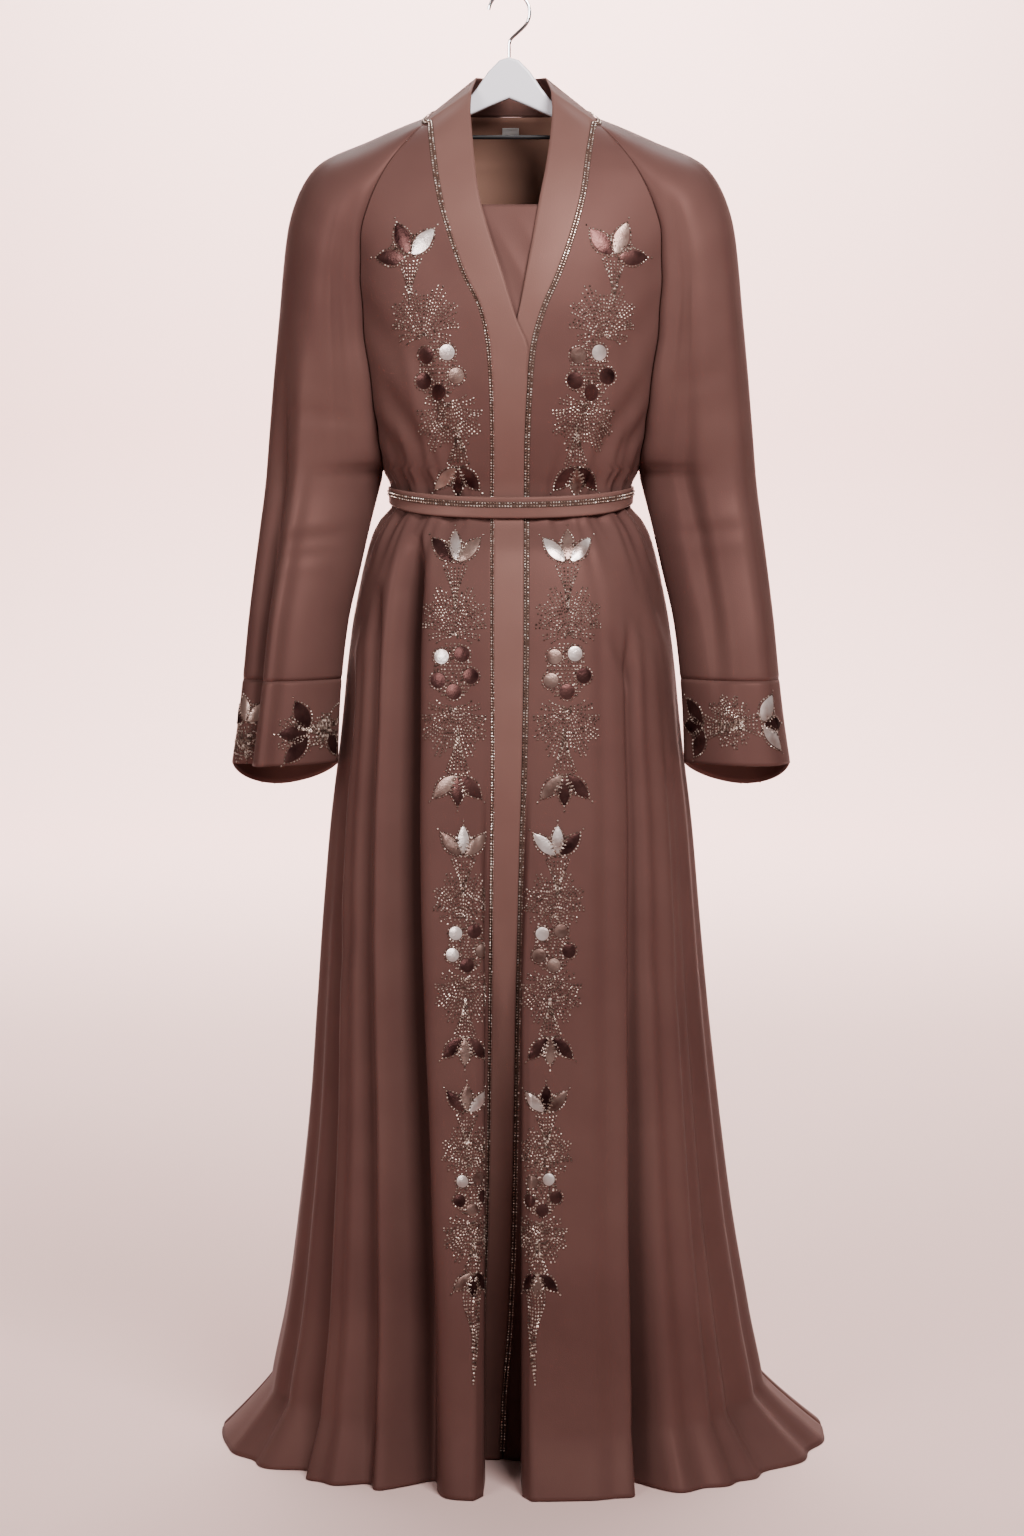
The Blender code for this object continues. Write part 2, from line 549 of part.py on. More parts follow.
def label_piece(parent):
    """Blank woven label just inside the back of the neck."""
    wide, tall = LABEL_SIZE
    _, _, back, _ = section(LABEL_HEIGHT)
    slope = (section(LABEL_HEIGHT + tall / 2)[2] - section(LABEL_HEIGHT - tall / 2)[2]) / tall
    points = []
    for depth in (0.0, LABEL_WALL):
        for u, v in ((-1, -1), (1, -1), (1, 1), (-1, 1)):
            y = back - WALL - 0.0004 - depth + slope * v * tall / 2
            points.append((LABEL_X + u * wide / 2, y, LABEL_HEIGHT + v * tall / 2))
    faces = [[0, 3, 2, 1], [4, 5, 6, 7], [0, 1, 5, 4], [1, 2, 6, 5], [2, 3, 7, 6], [3, 0, 4, 7]]
    label = add_object("label", points, faces, "label", parent)
    face_outwards(label)


def face_outwards(obj):
    shape = bmesh.new()
    shape.from_mesh(obj.data)
    bmesh.ops.recalc_face_normals(shape, faces=shape.faces)
    shape.to_mesh(obj.data)
    shape.free()


def hanger_piece(parent):
    """White wooden hanger: an outline of top and underside, given depth and softened edges."""
    right = [(x, top) for x, top, _ in HANGER] + [(x, low) for x, _, low in HANGER[::-1]]
    left = [(-x, z) for x, z in right[1:-1]][::-1]
    outline = right + left
    count = len(outline)
    points = [(HOOK_X + x, HOOK_Y + sign * HANGER_DEPTH / 2, z) for sign in (-1, 1) for x, z in outline]
    faces = [list(range(count)), list(range(2 * count - 1, count - 1, -1))]
    faces += [[i, i + count, (i + 1) % count + count, (i + 1) % count] for i in range(count)]
    hanger = add_object("hanger", points, faces, "paint", parent)
    face_outwards(hanger)
    bevel = hanger.modifiers.new("rounded edges", "BEVEL")
    bevel.width, bevel.segments, bevel.limit_method, bevel.angle_limit = HANGER_BEVEL, 3, "ANGLE", 0.9


def tube(name, path, radius, finish, parent, sides=10):
    """Round wire along a path, with flat ends."""
    path = np.asarray(path, float)
    ways = np.gradient(path, axis=0)
    ways /= np.linalg.norm(ways, axis=1, keepdims=True)
    across = np.array([0.0, 1.0, 0.0])
    points = []
    for p, way in zip(path, ways):
        other = np.cross(way, across)
        for k in range(sides):
            turn = 2 * math.pi * k / sides
            points.append(p + radius * (math.cos(turn) * across + math.sin(turn) * other))
    number = np.arange(len(path) * sides).reshape(-1, sides)
    faces = [[low[k], low[k - sides + 1], high[k - sides + 1], high[k]]
             for low, high in zip(number, number[1:]) for k in range(sides)]
    faces += [number[0, ::-1], number[-1]]
    made = add_object(name, points, faces, finish, parent)
    face_outwards(made)


def hook_piece(parent):
    """Chrome wire: a short stem out of the hanger's top, then round to a tip past the inner top."""
    top = HOOK_HEIGHT + WIRE - HOOK_RADIUS
    stem = [(0.0, z) for z in np.linspace(HANGER[0][1] + 0.0003, HANGER[0][1] + 0.014, 4)]
    turns = np.radians(np.linspace(-38, 172, 20))
    arc = [(HOOK_RADIUS * math.cos(t), top + HOOK_RADIUS * math.sin(t)) for t in turns]
    low, high = np.array(stem[-1]), np.array(arc[0])
    bend = []
    for s in np.linspace(0, 1, 6)[1:-1]:
        pull_up, pull_back = low + (0, 0.007), high - (0.0075, 0.0085)
        bend.append(tuple((1 - s) ** 3 * low + 3 * s * (1 - s) ** 2 * pull_up
                          + 3 * s * s * (1 - s) * pull_back + s**3 * high))
    path = [(HOOK_X + x, HOOK_Y, z) for x, z in stem + bend + arc]
    tube("hook", path, WIRE, "chrome", parent)


def main():
    for obj in list(bpy.data.objects):
        bpy.data.objects.remove(obj)
    body = bpy.data.objects.new("abaya_on_hanger", None)
    bpy.context.scene.collection.objects.link(body)
    cloth_pieces(body)
    belt_piece(body)
    label_piece(body)
    hanger_piece(body)
    hook_piece(body)
    ends = np.linspace(-BAR_HALF, BAR_HALF, 3)
    tube("hanger_bar", [(HOOK_X + x, HOOK_Y, BAR_HEIGHT) for x in ends], BAR_RADIUS, "bar", body)


main()
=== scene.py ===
"""Abaya cloak on a hanger: cloth, seams, embroidery and finishes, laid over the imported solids.

Metres. The origin is the inner top of the hook, +Z is up and -Y is the front. "Left" is the viewer's
left. Cloth is laid out in heights above the floor and moved down to the hook's height as it
becomes a mesh.
"""
import math

import bpy
import numpy as np
from mathutils.kdtree import KDTree
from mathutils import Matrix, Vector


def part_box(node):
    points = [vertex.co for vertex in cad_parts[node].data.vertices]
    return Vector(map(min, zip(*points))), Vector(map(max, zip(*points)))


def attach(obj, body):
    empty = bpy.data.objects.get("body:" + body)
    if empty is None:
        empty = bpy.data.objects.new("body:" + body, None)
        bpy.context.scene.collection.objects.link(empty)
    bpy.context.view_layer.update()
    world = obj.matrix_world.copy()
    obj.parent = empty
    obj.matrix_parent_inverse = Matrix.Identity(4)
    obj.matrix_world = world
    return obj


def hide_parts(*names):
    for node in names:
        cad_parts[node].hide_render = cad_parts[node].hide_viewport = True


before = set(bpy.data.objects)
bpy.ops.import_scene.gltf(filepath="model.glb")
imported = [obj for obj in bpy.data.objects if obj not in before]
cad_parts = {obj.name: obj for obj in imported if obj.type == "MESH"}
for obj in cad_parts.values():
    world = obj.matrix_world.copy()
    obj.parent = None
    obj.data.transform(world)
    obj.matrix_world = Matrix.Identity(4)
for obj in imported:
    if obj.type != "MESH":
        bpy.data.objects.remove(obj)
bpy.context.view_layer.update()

# The body's form, worn open at the hem: an oval at each height, let out from the belt to a wide
# floor-length hem. Crepe satin is cut into two fronts and a back, and the belt gathers it.
HOOK_HEIGHT = 1.538
HOOK_X, HOOK_Y = -0.003, 0.006
CENTRE_X = -0.001
ROUNDNESS = 2.3
LAP = 0.0034
HEM_CLEAR = 0.0004
CLOTH = 0.0012
FLOOR = -HOOK_HEIGHT

# Height, half width, depth of front, depth of back, centre shift to the right
SECTIONS = [
    (0.000, 0.272, 0.300, 0.290, 0.006), (0.060, 0.265, 0.284, 0.278, 0.006),
    (0.140, 0.249, 0.268, 0.260, 0.006), (0.250, 0.232, 0.246, 0.238, 0.004),
    (0.360, 0.219, 0.224, 0.218, 0.003), (0.470, 0.209, 0.203, 0.201, 0.001),
    (0.580, 0.200, 0.182, 0.186, 0.000), (0.660, 0.193, 0.168, 0.174, 0.000),
    (0.760, 0.181, 0.155, 0.160, 0.000), (0.843, 0.173, 0.142, 0.149, 0.000),
    (0.900, 0.164, 0.130, 0.138, 0.000), (0.950, 0.153, 0.115, 0.120, 0.000),
    (0.968, 0.147, 0.102, 0.106, 0.000), (0.984, 0.138, 0.092, 0.094, 0.000),
    (0.998, 0.127, 0.092, 0.090, 0.000), (1.018, 0.128, 0.0935, 0.0915, 0.000),
    (1.035, 0.136, 0.0985, 0.0960, 0.000), (1.090, 0.150, 0.112, 0.106, 0.000),
    (1.135, 0.160, 0.118, 0.110, 0.000), (1.190, 0.172, 0.118, 0.113, 0.000),
    (1.240, 0.184, 0.113, 0.114, 0.000), (1.290, 0.198, 0.101, 0.111, 0.000),
    (1.340, 0.207, 0.082, 0.103, 0.000), (1.366, 0.192, 0.069, 0.095, 0.000),
    (1.385, 0.143, 0.057, 0.086, 0.000), (1.399, 0.108, 0.046, 0.079, 0.000),
    (1.415, 0.087, 0.032, 0.072, 0.000),
]
# Raglan seam: height, distance from the centre line
RAGLAN = [
    (1.035, 0.136), (1.090, 0.1435), (1.135, 0.148), (1.180, 0.1545), (1.250, 0.1585), (1.282, 0.1565),
    (1.314, 0.148), (1.351, 0.130), (1.386, 0.103), (1.399, 0.0905), (1.415, 0.075),
]
# Seams of the two front bands: height, x of the left one, x of the right one
BAND_SEAMS = [
    (0.00, -0.0320, -0.0110), (0.06, -0.0315, -0.0090), (0.15, -0.0300, -0.0020),
    (0.25, -0.0265, 0.0020), (0.36, -0.0245, 0.0040), (0.48, -0.0230, 0.0060),
    (0.62, -0.0215, 0.0090), (0.73, -0.0205, 0.0120), (0.85, -0.0210, 0.0140),
    (1.00, -0.0215, 0.0145), (1.06, -0.0210, 0.0150), (1.11, -0.0220, 0.0170), (1.16, -0.0250, 0.0210),
    (1.20, -0.0330, 0.0315), (1.236, -0.0505, 0.0470), (1.282, -0.0665, 0.0630), (1.323, -0.0775, 0.0735),
    (1.366, -0.0840, 0.0795), (1.399, -0.0875, 0.0855),
]
# Main folds of the skirt, as troughs: angle at the hem and at the top (0 the front's middle, 180
# the back's, minus is left), half width in degrees, depth at the hem and at the top, top height,
# and how fast the depth fades upwards
FOLDS = [
    (-19.5, -40, 5.6, 0.066, 0.046, 0.97, 0.8), (-33, -58, 4.6, 0.028, 0.013, 0.92, 1.1),
    (-52, -74, 5.0, 0.030, 0.010, 0.85, 1.2), (26, 44, 3.2, 0.070, 0.010, 0.88, 2.3),
    (57, 66, 5.5, 0.012, 0.003, 0.75, 1.2), (-100, -96, 6.0, 0.018, 0.000, 0.60, 1.2),
    (102, 98, 6.0, 0.018, 0.000, 0.60, 1.2), (-124, -118, 5.0, 0.024, 0.005, 0.90, 1.2),
    (126, 120, 5.0, 0.024, 0.005, 0.90, 1.2), (-148, -142, 5.0, 0.026, 0.006, 0.92, 1.2),
    (149, 143, 5.0, 0.026, 0.006, 0.92, 1.2), (-171, -168, 4.5, 0.020, 0.006, 0.92, 1.2),
    (170, 167, 4.5, 0.020, 0.006, 0.92, 1.2),
]
FOLD_STEEPER = 1.25  # on the side nearer the front's middle
# Broad shallow waves between them, in the same columns
FINE_FOLDS = [
    (-25.5, -46, 2.2, 0.0060, 0.0026, 0.94, 1.0), (-43, -66, 2.8, 0.0066, 0.0020, 0.90, 1.0),
    (-66, -80, 3.4, 0.0070, 0.0016, 0.85, 1.0), (18, 31, 2.6, 0.0030, 0.0012, 0.93, 1.1),
    (38, 53, 3.0, 0.0050, 0.0016, 0.90, 1.0), (47, 62, 2.4, 0.0050, 0.0010, 0.80, 1.0),
    (74, 80, 3.8, 0.0066, 0.0012, 0.84, 1.0),
    (-112, -108, 4.6, 0.0050, 0.0012, 0.88, 1.0), (-136, -131, 4.2, 0.0055, 0.0016, 0.92, 1.0),
    (-159, -156, 3.8, 0.0050, 0.0016, 0.93, 1.0), (179, 180, 3.8, 0.0060, 0.0020, 0.94, 1.0),
    (160, 156, 3.8, 0.0050, 0.0016, 0.93, 1.0), (138, 132, 4.2, 0.0055, 0.0016, 0.92, 1.0),
    (113, 108, 4.6, 0.0050, 0.0012, 0.88, 1.0),
]
# Gathers that the belt holds in: angle, half width, depth
GATHERS = [
    (-24, 4.5, 0.006), (-42, 4.5, 0.005), (-60, 5.0, 0.007), (-76, 4.0, 0.006), (19, 4.0, 0.005),
    (40, 5.0, 0.005), (59, 4.5, 0.007), (75, 4.5, 0.007), (-108, 6.0, 0.006), (108, 6.0, 0.006),
    (-132, 5.5, 0.006), (132, 5.5, 0.006), (-156, 5.0, 0.006), (156, 5.0, 0.006), (180, 5.0, 0.005),
]
GATHER_HEIGHT, GATHER_REACH = 1.0, 0.085
# Small creases that the gathers fray into: angle at the belt, drift away from it, half width,
# depth, and how far they reach above and below
FINE_GATHERS = [
    (-17, -3, 1.6, 0.0016, 0.05), (-31, -4, 1.9, 0.0024, 0.11), (-36, -5, 1.6, 0.0016, 0.07),
    (-50, -6, 2.0, 0.0024, 0.10), (-67, -5, 2.1, 0.0022, 0.08), (-84, -2, 2.1, 0.0020, 0.06),
    (15, 3, 1.6, 0.0016, 0.05), (27, 4, 1.9, 0.0022, 0.10), (33, 5, 1.6, 0.0016, 0.06),
    (49, 6, 2.0, 0.0024, 0.10), (67, 5, 2.1, 0.0022, 0.08), (84, 2, 2.1, 0.0020, 0.06),
    (-98, 0, 2.2, 0.0024, 0.07), (98, 0, 2.2, 0.0024, 0.07), (-120, 3, 2.2, 0.0026, 0.09),
    (120, -3, 2.2, 0.0026, 0.09), (-144, 3, 2.1, 0.0024, 0.08), (144, -3, 2.1, 0.0024, 0.08),
    (-168, 2, 2.1, 0.0024, 0.09), (168, -2, 2.1, 0.0024, 0.09),
]
# Creases across the cloth: angle and height of one end, of the other, half width, depth
CREASES = [
    (-26, 1.050, -34, 1.165, 0.009, 0.0036), (-34, 1.045, -58, 1.130, 0.012, 0.0030),
    (-48, 1.045, -76, 1.090, 0.011, 0.0026), (-40, 1.140, -64, 1.225, 0.016, 0.0018),
    (26, 1.050, 34, 1.150, 0.009, 0.0032), (34, 1.045, 60, 1.125, 0.012, 0.0030),
    (46, 1.045, 74, 1.095, 0.011, 0.0026), (38, 1.140, 62, 1.220, 0.016, 0.0018),
    (-52, 1.235, -66, 1.300, 0.015, 0.0016), (50, 1.230, 64, 1.300, 0.015, 0.0016),
    (-60, 0.920, -78, 0.840, 0.015, 0.0022), (34, 0.870, 46, 0.800, 0.008, 0.0022),
    (42, 0.890, 62, 0.850, 0.009, 0.0018), (60, 0.930, 78, 0.850, 0.015, 0.0022),
    (-48, 0.600, -64, 0.500, 0.020, 0.0016), (38, 0.560, 58, 0.470, 0.020, 0.0014),
    (-130, 1.060, -150, 1.180, 0.012, 0.0030), (130, 1.060, 150, 1.180, 0.012, 0.0030),
    (-160, 1.080, -176, 1.200, 0.012, 0.0026), (160, 1.080, 176, 1.200, 0.012, 0.0026),
    (-120, 1.200, -138, 1.300, 0.015, 0.0022), (120, 1.200, 138, 1.300, 0.015, 0.0022),
    (-150, 0.900, -166, 0.780, 0.015, 0.0024), (150, 0.900, 166, 0.780, 0.015, 0.0024),
]
# Trains on the floor: angle, half width in degrees, reach
TRAINS = [(-88, 42, 0.043), (85, 48, 0.056), (180, 60, 0.045), (0, 40, 0.006)]
TRAIN_HEIGHT = 0.060
# Valley between the fronts' standing folds, in which the bands lie: its top, its depth at the hem,
# how fast it fades upwards, and where its two sides stand
VALLEY_TOP, VALLEY_DEPTH, VALLEY_POWER = 0.80, 0.165, 1.7
VALLEY_LEFT, VALLEY_RIGHT = -0.0285, 0.0100
# Beside the band seam: width of the strip that turns into the valley, and its last columns low
# down, as distance from the fold that stands there and share of the valley's depth
EDGE_ZONE, EDGE_SHARE, LEAST_STEP = 0.018, 0.25, 0.0008
HOLLOW_COLUMNS = [(0.0015, 0.94), (-0.0010, 0.50), (0.0005, 0.12), (0.0095, 0.0)]
HOLLOW_BELOW, HOLLOW_FADE = 0.05, 0.25

BODY_ROWS, SHOULDER_STEPS, FRONT_COLUMNS, EDGE_COLUMNS, BACK_COLUMNS = 190, 50, 104, 12, 150
LOW_CROWDING = 1.04  # rows lie a little closer together towards the hem
CREASED_BELOW = 1.33
FOLD_TOP_FADE, FINE_TOP_FADE = 0.06, 0.08
# A fine gather starts a little way off the belt, and widens as it leaves it.
GATHER_START, GATHER_RISE = 0.12, 6


def column(table, index):
    return np.array([row[index] for row in table], float)


def follow(xs, ys, x):
    """A smooth line through the table's points that never overshoots them."""
    xs, ys, x = np.asarray(xs, float), np.asarray(ys, float), np.clip(x, xs[0], xs[-1])
    step = np.diff(xs)
    slope = np.diff(ys) / step
    tangent = np.zeros(len(xs))
    tangent[0], tangent[-1] = slope[0], slope[-1]
    for i in range(1, len(xs) - 1):
        if slope[i - 1] * slope[i] > 0:
            tangent[i] = 2 / (1 / slope[i - 1] + 1 / slope[i])
    i = np.clip(np.searchsorted(xs, x, side="right") - 1, 0, len(step) - 1)
    t, h = (x - xs[i]) / step[i], step[i]
    return ((2 * t**3 - 3 * t**2 + 1) * ys[i] + (t**3 - 2 * t**2 + t) * h * tangent[i]
            + (3 * t**2 - 2 * t**3) * ys[i + 1] + (t**3 - t**2) * h * tangent[i + 1])


def lookup(table, value, index, rising=True):
    """A column of a table, read smoothly between its rows by the value in its first column."""
    rows = table if rising else table[::-1]
    return follow(column(rows, 0), column(rows, index), value)


def section(height):
    """Half width, depth of front, depth of back and shift of the body at this height."""
    return [lookup(SECTIONS, height, i) for i in (1, 2, 3, 4)]


def angle_of(distance, height):
    """The angle at which the oval section is this far from its own middle."""
    half = section(height)[0]
    return np.arcsin(np.clip(distance / half, 0.0, 1.0) ** (ROUNDNESS / 2))


def turn_between(a, b):
    """Degrees from b to a, the short way round."""
    return (a - b + 180) % 360 - 180


def fold_angle(fold, height):
    """Where a fold stands at this height."""
    share = np.clip(height / fold[5], 0, 1)
    return fold[0] + (fold[1] - fold[0]) * share


def trough(t):
    """Soft fold profile with a low ridge on both sides."""
    return np.exp(-t**2) - 0.32 * np.exp(-((np.abs(t) - 1.9) / 0.9) ** 2)


def crease_depth(creases, across, up, metres_across):
    """Creases as soft troughs along lines that fade at both ends."""
    moved = np.zeros_like(across)
    for a0, h0, a1, h1, width, depth in creases:
        dx, dy = turn_between(a1, a0) * metres_across, h1 - h0
        px, py = turn_between(across, a0) * metres_across, up - h0
        length = math.hypot(dx, dy)
        along = (px * dx + py * dy) / length**2
        off = (px * dy - py * dx) / length
        ends = np.exp(-(((along - 0.5) / 0.42) ** 4))
        moved += depth * ends * trough(off / width)
    return moved


def inset(degrees, height):
    """How far folds, gathers, creases and trains move the cloth in at this place."""
    moved = np.zeros_like(degrees)
    for fold in FOLDS:
        _, _, width, hem, top, top_height, fade = fold
        if height < top_height:
            share = (1 - height / top_height) ** fade
            depth = (top + (hem - top) * share) * min(1.0, (top_height - height) / FOLD_TOP_FADE)
            t = turn_between(degrees, fold_angle(fold, height)) / width
            moved += depth * np.exp(-(t * np.where(t * fold[0] < 0, FOLD_STEEPER, 1.0)) ** 2)
    for fold in FINE_FOLDS:
        _, _, width, hem, top, top_height, fade = fold
        if height < top_height:
            share = (1 - height / top_height) ** fade
            depth = (top + (hem - top) * share) * min(1.0, (top_height - height) / FINE_TOP_FADE)
            moved += depth * trough(turn_between(degrees, fold_angle(fold, height)) / width)
    near = max(0.0, 1 - abs(height - GATHER_HEIGHT) / GATHER_REACH)
    for angle, width, depth in GATHERS:
        moved += depth * near**1.3 * np.exp(-(turn_between(degrees, angle) / width) ** 2)
    for angle, drift, width, depth, reach in FINE_GATHERS:
        away = abs(height - GATHER_HEIGHT) / reach
        if GATHER_START < away < 1:
            t = turn_between(degrees, angle + drift * away) / (width * (0.7 + 0.8 * away))
            moved += depth * min(1.0, (away - GATHER_START) * GATHER_RISE) * (1 - away) * trough(t)
    if height < CREASED_BELOW:
        half, front = section(height)[:2]
        moved += crease_depth(CREASES, degrees, height, (half + front) / 2 * math.pi / 180)
    low = max(0.0, 1 - height / TRAIN_HEIGHT) ** 1.15
    for angle, width, reach in TRAINS:
        moved -= reach * low * np.exp(-(turn_between(degrees, angle) / width) ** 2)
    return moved


def body_points(angle, height):
    """Points of the outside of the body at signed angles in radians, 0 at the front's middle."""
    half, front, back, shift = section(height)
    s, c = np.sin(angle), np.cos(angle)
    power = 2 / ROUNDNESS
    x = half * np.sign(s) * np.abs(s) ** power
    y = -np.where(c > 0, front, back) * np.sign(c) * np.abs(c) ** power
    moved = inset(np.degrees(angle), height)
    x, y = x - moved * s, y + moved * c
    return np.stack([x + CENTRE_X + shift, y, np.full_like(x, height)], axis=-1)


def valley(height):
    """How deep the bands lie between the fronts' standing folds."""
    return VALLEY_DEPTH * max(0.0, 1 - height / VALLEY_TOP) ** VALLEY_POWER


def crowded(lo, hi, count, height):
    """Angles from lo to hi that lie closer together at the folds."""
    fine = np.linspace(lo, hi, 900)
    weight = np.ones_like(fine)
    for fold in FOLDS + FINE_FOLDS:
        strength = 1.6 * min(1.0, fold[3] / 0.03) * max(0.0, 1 - height / fold[5])
        near = turn_between(np.degrees(fine), fold_angle(fold, height)) / (1.6 * fold[2])
        weight += strength * np.exp(-near**2)
    total = np.concatenate([[0], np.cumsum((weight[1:] + weight[:-1]) / 2)])
    return np.interp(np.linspace(0, total[-1], count), total, fine)


def front_row(side, height):
    """One level of a front, from the band seam out to the side seam or raglan seam."""
    shift = section(height)[3] + CENTRE_X
    seam_x = lookup(BAND_SEAMS, height, 1 if side < 0 else 2)
    inner = side * (seam_x - shift)
    outer = lookup(RAGLAN, height, 1) if height > RAGLAN[0][0] else section(height)[0]
    zone = min(EDGE_ZONE, EDGE_SHARE * (outer - inner))
    share = np.linspace(0, 1, EDGE_COLUMNS + 1)
    even = inner + zone * share
    stands = side * ((VALLEY_LEFT if side < 0 else VALLEY_RIGHT) - shift)
    marks = np.linspace(0, 1, len(HOLLOW_COLUMNS) + 1)
    spots = np.array([inner] + [stands + x for x, _ in HOLLOW_COLUMNS])
    spots[1] = max(spots[1], inner + LEAST_STEP)
    hollow = np.interp(share, marks, spots)
    depth = np.interp(share, marks, [1.0] + [d for _, d in HOLLOW_COLUMNS])
    low = np.clip((VALLEY_TOP - HOLLOW_BELOW - height) / HOLLOW_FADE, 0, 1)
    xs = even + (hollow - even) * low
    rest = crowded(side * angle_of(xs[-1], height), side * angle_of(outer, height), FRONT_COLUMNS, height)
    row = body_points(np.concatenate([side * angle_of(np.abs(xs[:-1]), height), rest]), height)
    row[:EDGE_COLUMNS, 0] = side * xs[:-1] + shift
    even_depth = (1 - share) ** 2 * (1 + 2 * share)
    row[:EDGE_COLUMNS + 1, 1] += valley(height) * (even_depth + (depth - even_depth) * low)
    return row


# Sleeves above the underarm: height of the front seam, of the back seam, distance and height of
# the shoulder line, half depth of the arm. The fronts and back use the seam heights too.
SHOULDER = [
    (1.399, 1.415, 0.0895, 1.4085, 0.0250), (1.352, 1.364, 0.1500, 1.3835, 0.0558),
    (1.300, 1.302, 0.2070, 1.3550, 0.0695), (1.235, 1.235, 0.2355, 1.2950, 0.0745),
    (1.160, 1.160, 0.2470, 1.1900, 0.0725), (1.090, 1.090, 0.2555, 1.0980, 0.0655),
    (1.035, 1.035, 0.2610, 1.0300, 0.0600),
]


def shoulder_rows(index):
    """A column of SHOULDER at each row from the neck down to the underarm."""
    steps = np.linspace(0, len(SHOULDER) - 1, SHOULDER_STEPS + 1)
    return follow(range(len(SHOULDER)), column(SHOULDER, index), steps)


def body_heights(index):
    """Heights of the rows, hem first. Above the underarm they are those of the sleeve's seam."""
    low = np.linspace(0, 1, BODY_ROWS) ** LOW_CROWDING * RAGLAN[0][0]
    return np.maximum(np.concatenate([low, shoulder_rows(index)[-2::-1]]), HEM_CLEAR)


def front_sheet(side):
    """Grid of a front, hem first, from the band seam outwards."""
    return np.array([front_row(side, h) for h in body_heights(0)])


def back_sheet():
    """Grid of the back, hem first, from one side seam or raglan seam round to the other."""
    rows = []
    for height in body_heights(1):
        above = height > RAGLAN[0][0]
        side = math.pi - angle_of(lookup(RAGLAN, height, 1), height) if above else math.pi / 2
        rows.append(body_points(crowded(side, 2 * math.pi - side, BACK_COLUMNS, height), height))
    return np.array(rows)


def linear(colour):
    """An sRGB hex colour as the linear values that a shader takes."""
    parts = [int(colour[i:i + 2], 16) / 255 for i in (1, 3, 5)]
    return [p / 12.92 if p <= 0.04045 else ((p + 0.055) / 1.055) ** 2.4 for p in parts] + [1.0]


def add_node(tree, kind, settings=(), at=(), **inputs):
    """A node in a tree. An input is a value or another node's output; _ in its name is a space.

    Inputs whose names aren't unique are given by number in at.
    """
    made = tree.nodes.new(kind)
    for name, value in dict(settings).items():
        setattr(made, name, value)
    for name, value in list(inputs.items()) + list(dict(at).items()):
        socket = made.inputs[name if isinstance(name, int) else name.replace("_", " ")]
        if isinstance(value, bpy.types.NodeSocket):
            tree.links.new(value, socket)
        else:
            socket.default_value = value
    return made


def new_material(name, **values):
    """A Principled material, with these values on the shader's own sockets."""
    made = bpy.data.materials.new(name)
    made.use_nodes = True
    shader = made.node_tree.nodes["Principled BSDF"]
    for key, value in values.items():
        shader.inputs[key.replace("_", " ")].default_value = value
    return made, shader


def toned(tree, factor, stops):
    """A colour ramp over a factor: stops are (place, hex colour)."""
    ramp = add_node(tree, "ShaderNodeValToRGB", Fac=factor)
    elements = ramp.color_ramp.elements
    while len(elements) < len(stops):
        elements.new(0.5)
    for element, (place, colour) in zip(elements, stops):
        element.position, element.color = place, linear(colour)
    return ramp.outputs["Color"]


def satin_material(name, dark, light, roughness, metal=0.12, cloud_scale=7.0, grain_scale=900.0,
                   grain_depth=0.0003):
    """Crepe-back satin, woven polyester: a soft broad shine over a very fine pebbled grain.

    The grain is drawn at 1.1 mm, coarser than the real 0.3 mm, so that it shows at all.
    """
    made, shader = new_material(name, Metallic=metal, Specular_IOR_Level=0.06, Specular_Tint=linear(dark))
    tree = made.node_tree
    place = add_node(tree, "ShaderNodeTexCoord").outputs["Object"]
    cloud = add_node(tree, "ShaderNodeTexNoise", Vector=place, Scale=cloud_scale, Detail=3.0, Roughness=0.5)
    grain = add_node(tree, "ShaderNodeTexNoise", Vector=place, Scale=grain_scale, Detail=2.0, Roughness=0.6)
    shade = toned(tree, cloud.outputs["Fac"], [(0.32, dark), (0.68, light)])
    tree.links.new(shade, shader.inputs["Base Color"])
    varied = add_node(tree, "ShaderNodeMapRange", Value=cloud.outputs["Fac"], To_Min=roughness - 0.05,
                     To_Max=roughness + 0.05)
    tree.links.new(varied.outputs["Result"], shader.inputs["Roughness"])
    pebbled = add_node(tree, "ShaderNodeBump", Height=grain.outputs["Fac"], Strength=0.35,
                       Distance=grain_depth)
    tree.links.new(pebbled.outputs["Normal"], shader.inputs["Normal"])
    return made


# The face glows softly along the folds. The wrong side is dull and a little paler, and its colour is
# raised further as painted light, for the light that reaches the inside of the back at the neck.
satin = satin_material("brown crepe satin", "#5A3F3B", "#644843", 0.45)
wrong_side_painted_light = satin_material("satin, wrong side, painted light", "#967060", "#A27B6B", 0.60, metal=0.0)


def grid_faces(rows, columns, closed_from=None, flip=False):
    """Faces of a grid of points. From row closed_from down, the last column is the first."""
    number = np.arange(rows * columns).reshape(rows, columns)
    if closed_from is not None:
        number[closed_from:, -1] = number[closed_from:, 0]
    low, high = number[:-1], number[1:]
    faces = np.stack([low[:, :-1], low[:, 1:], high[:, 1:], high[:, :-1]], axis=-1).reshape(-1, 4)
    return faces[:, ::-1] if flip else faces


def add_mesh(name, points, faces, materials, smooth=True):
    """A mesh object on body root, from points in heights above the floor."""
    moved = np.asarray(points, float) - np.array([HOOK_X, HOOK_Y, HOOK_HEIGHT])
    mesh = bpy.data.meshes.new(name)
    mesh.from_pydata(moved.tolist(), [], [list(map(int, f)) for f in faces])
    for made in materials:
        mesh.materials.append(made)
    if smooth:
        mesh.shade_smooth()
    mesh.update()
    obj = bpy.data.objects.new(name, mesh)
    bpy.context.scene.collection.objects.link(obj)
    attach(obj, "root")
    return obj


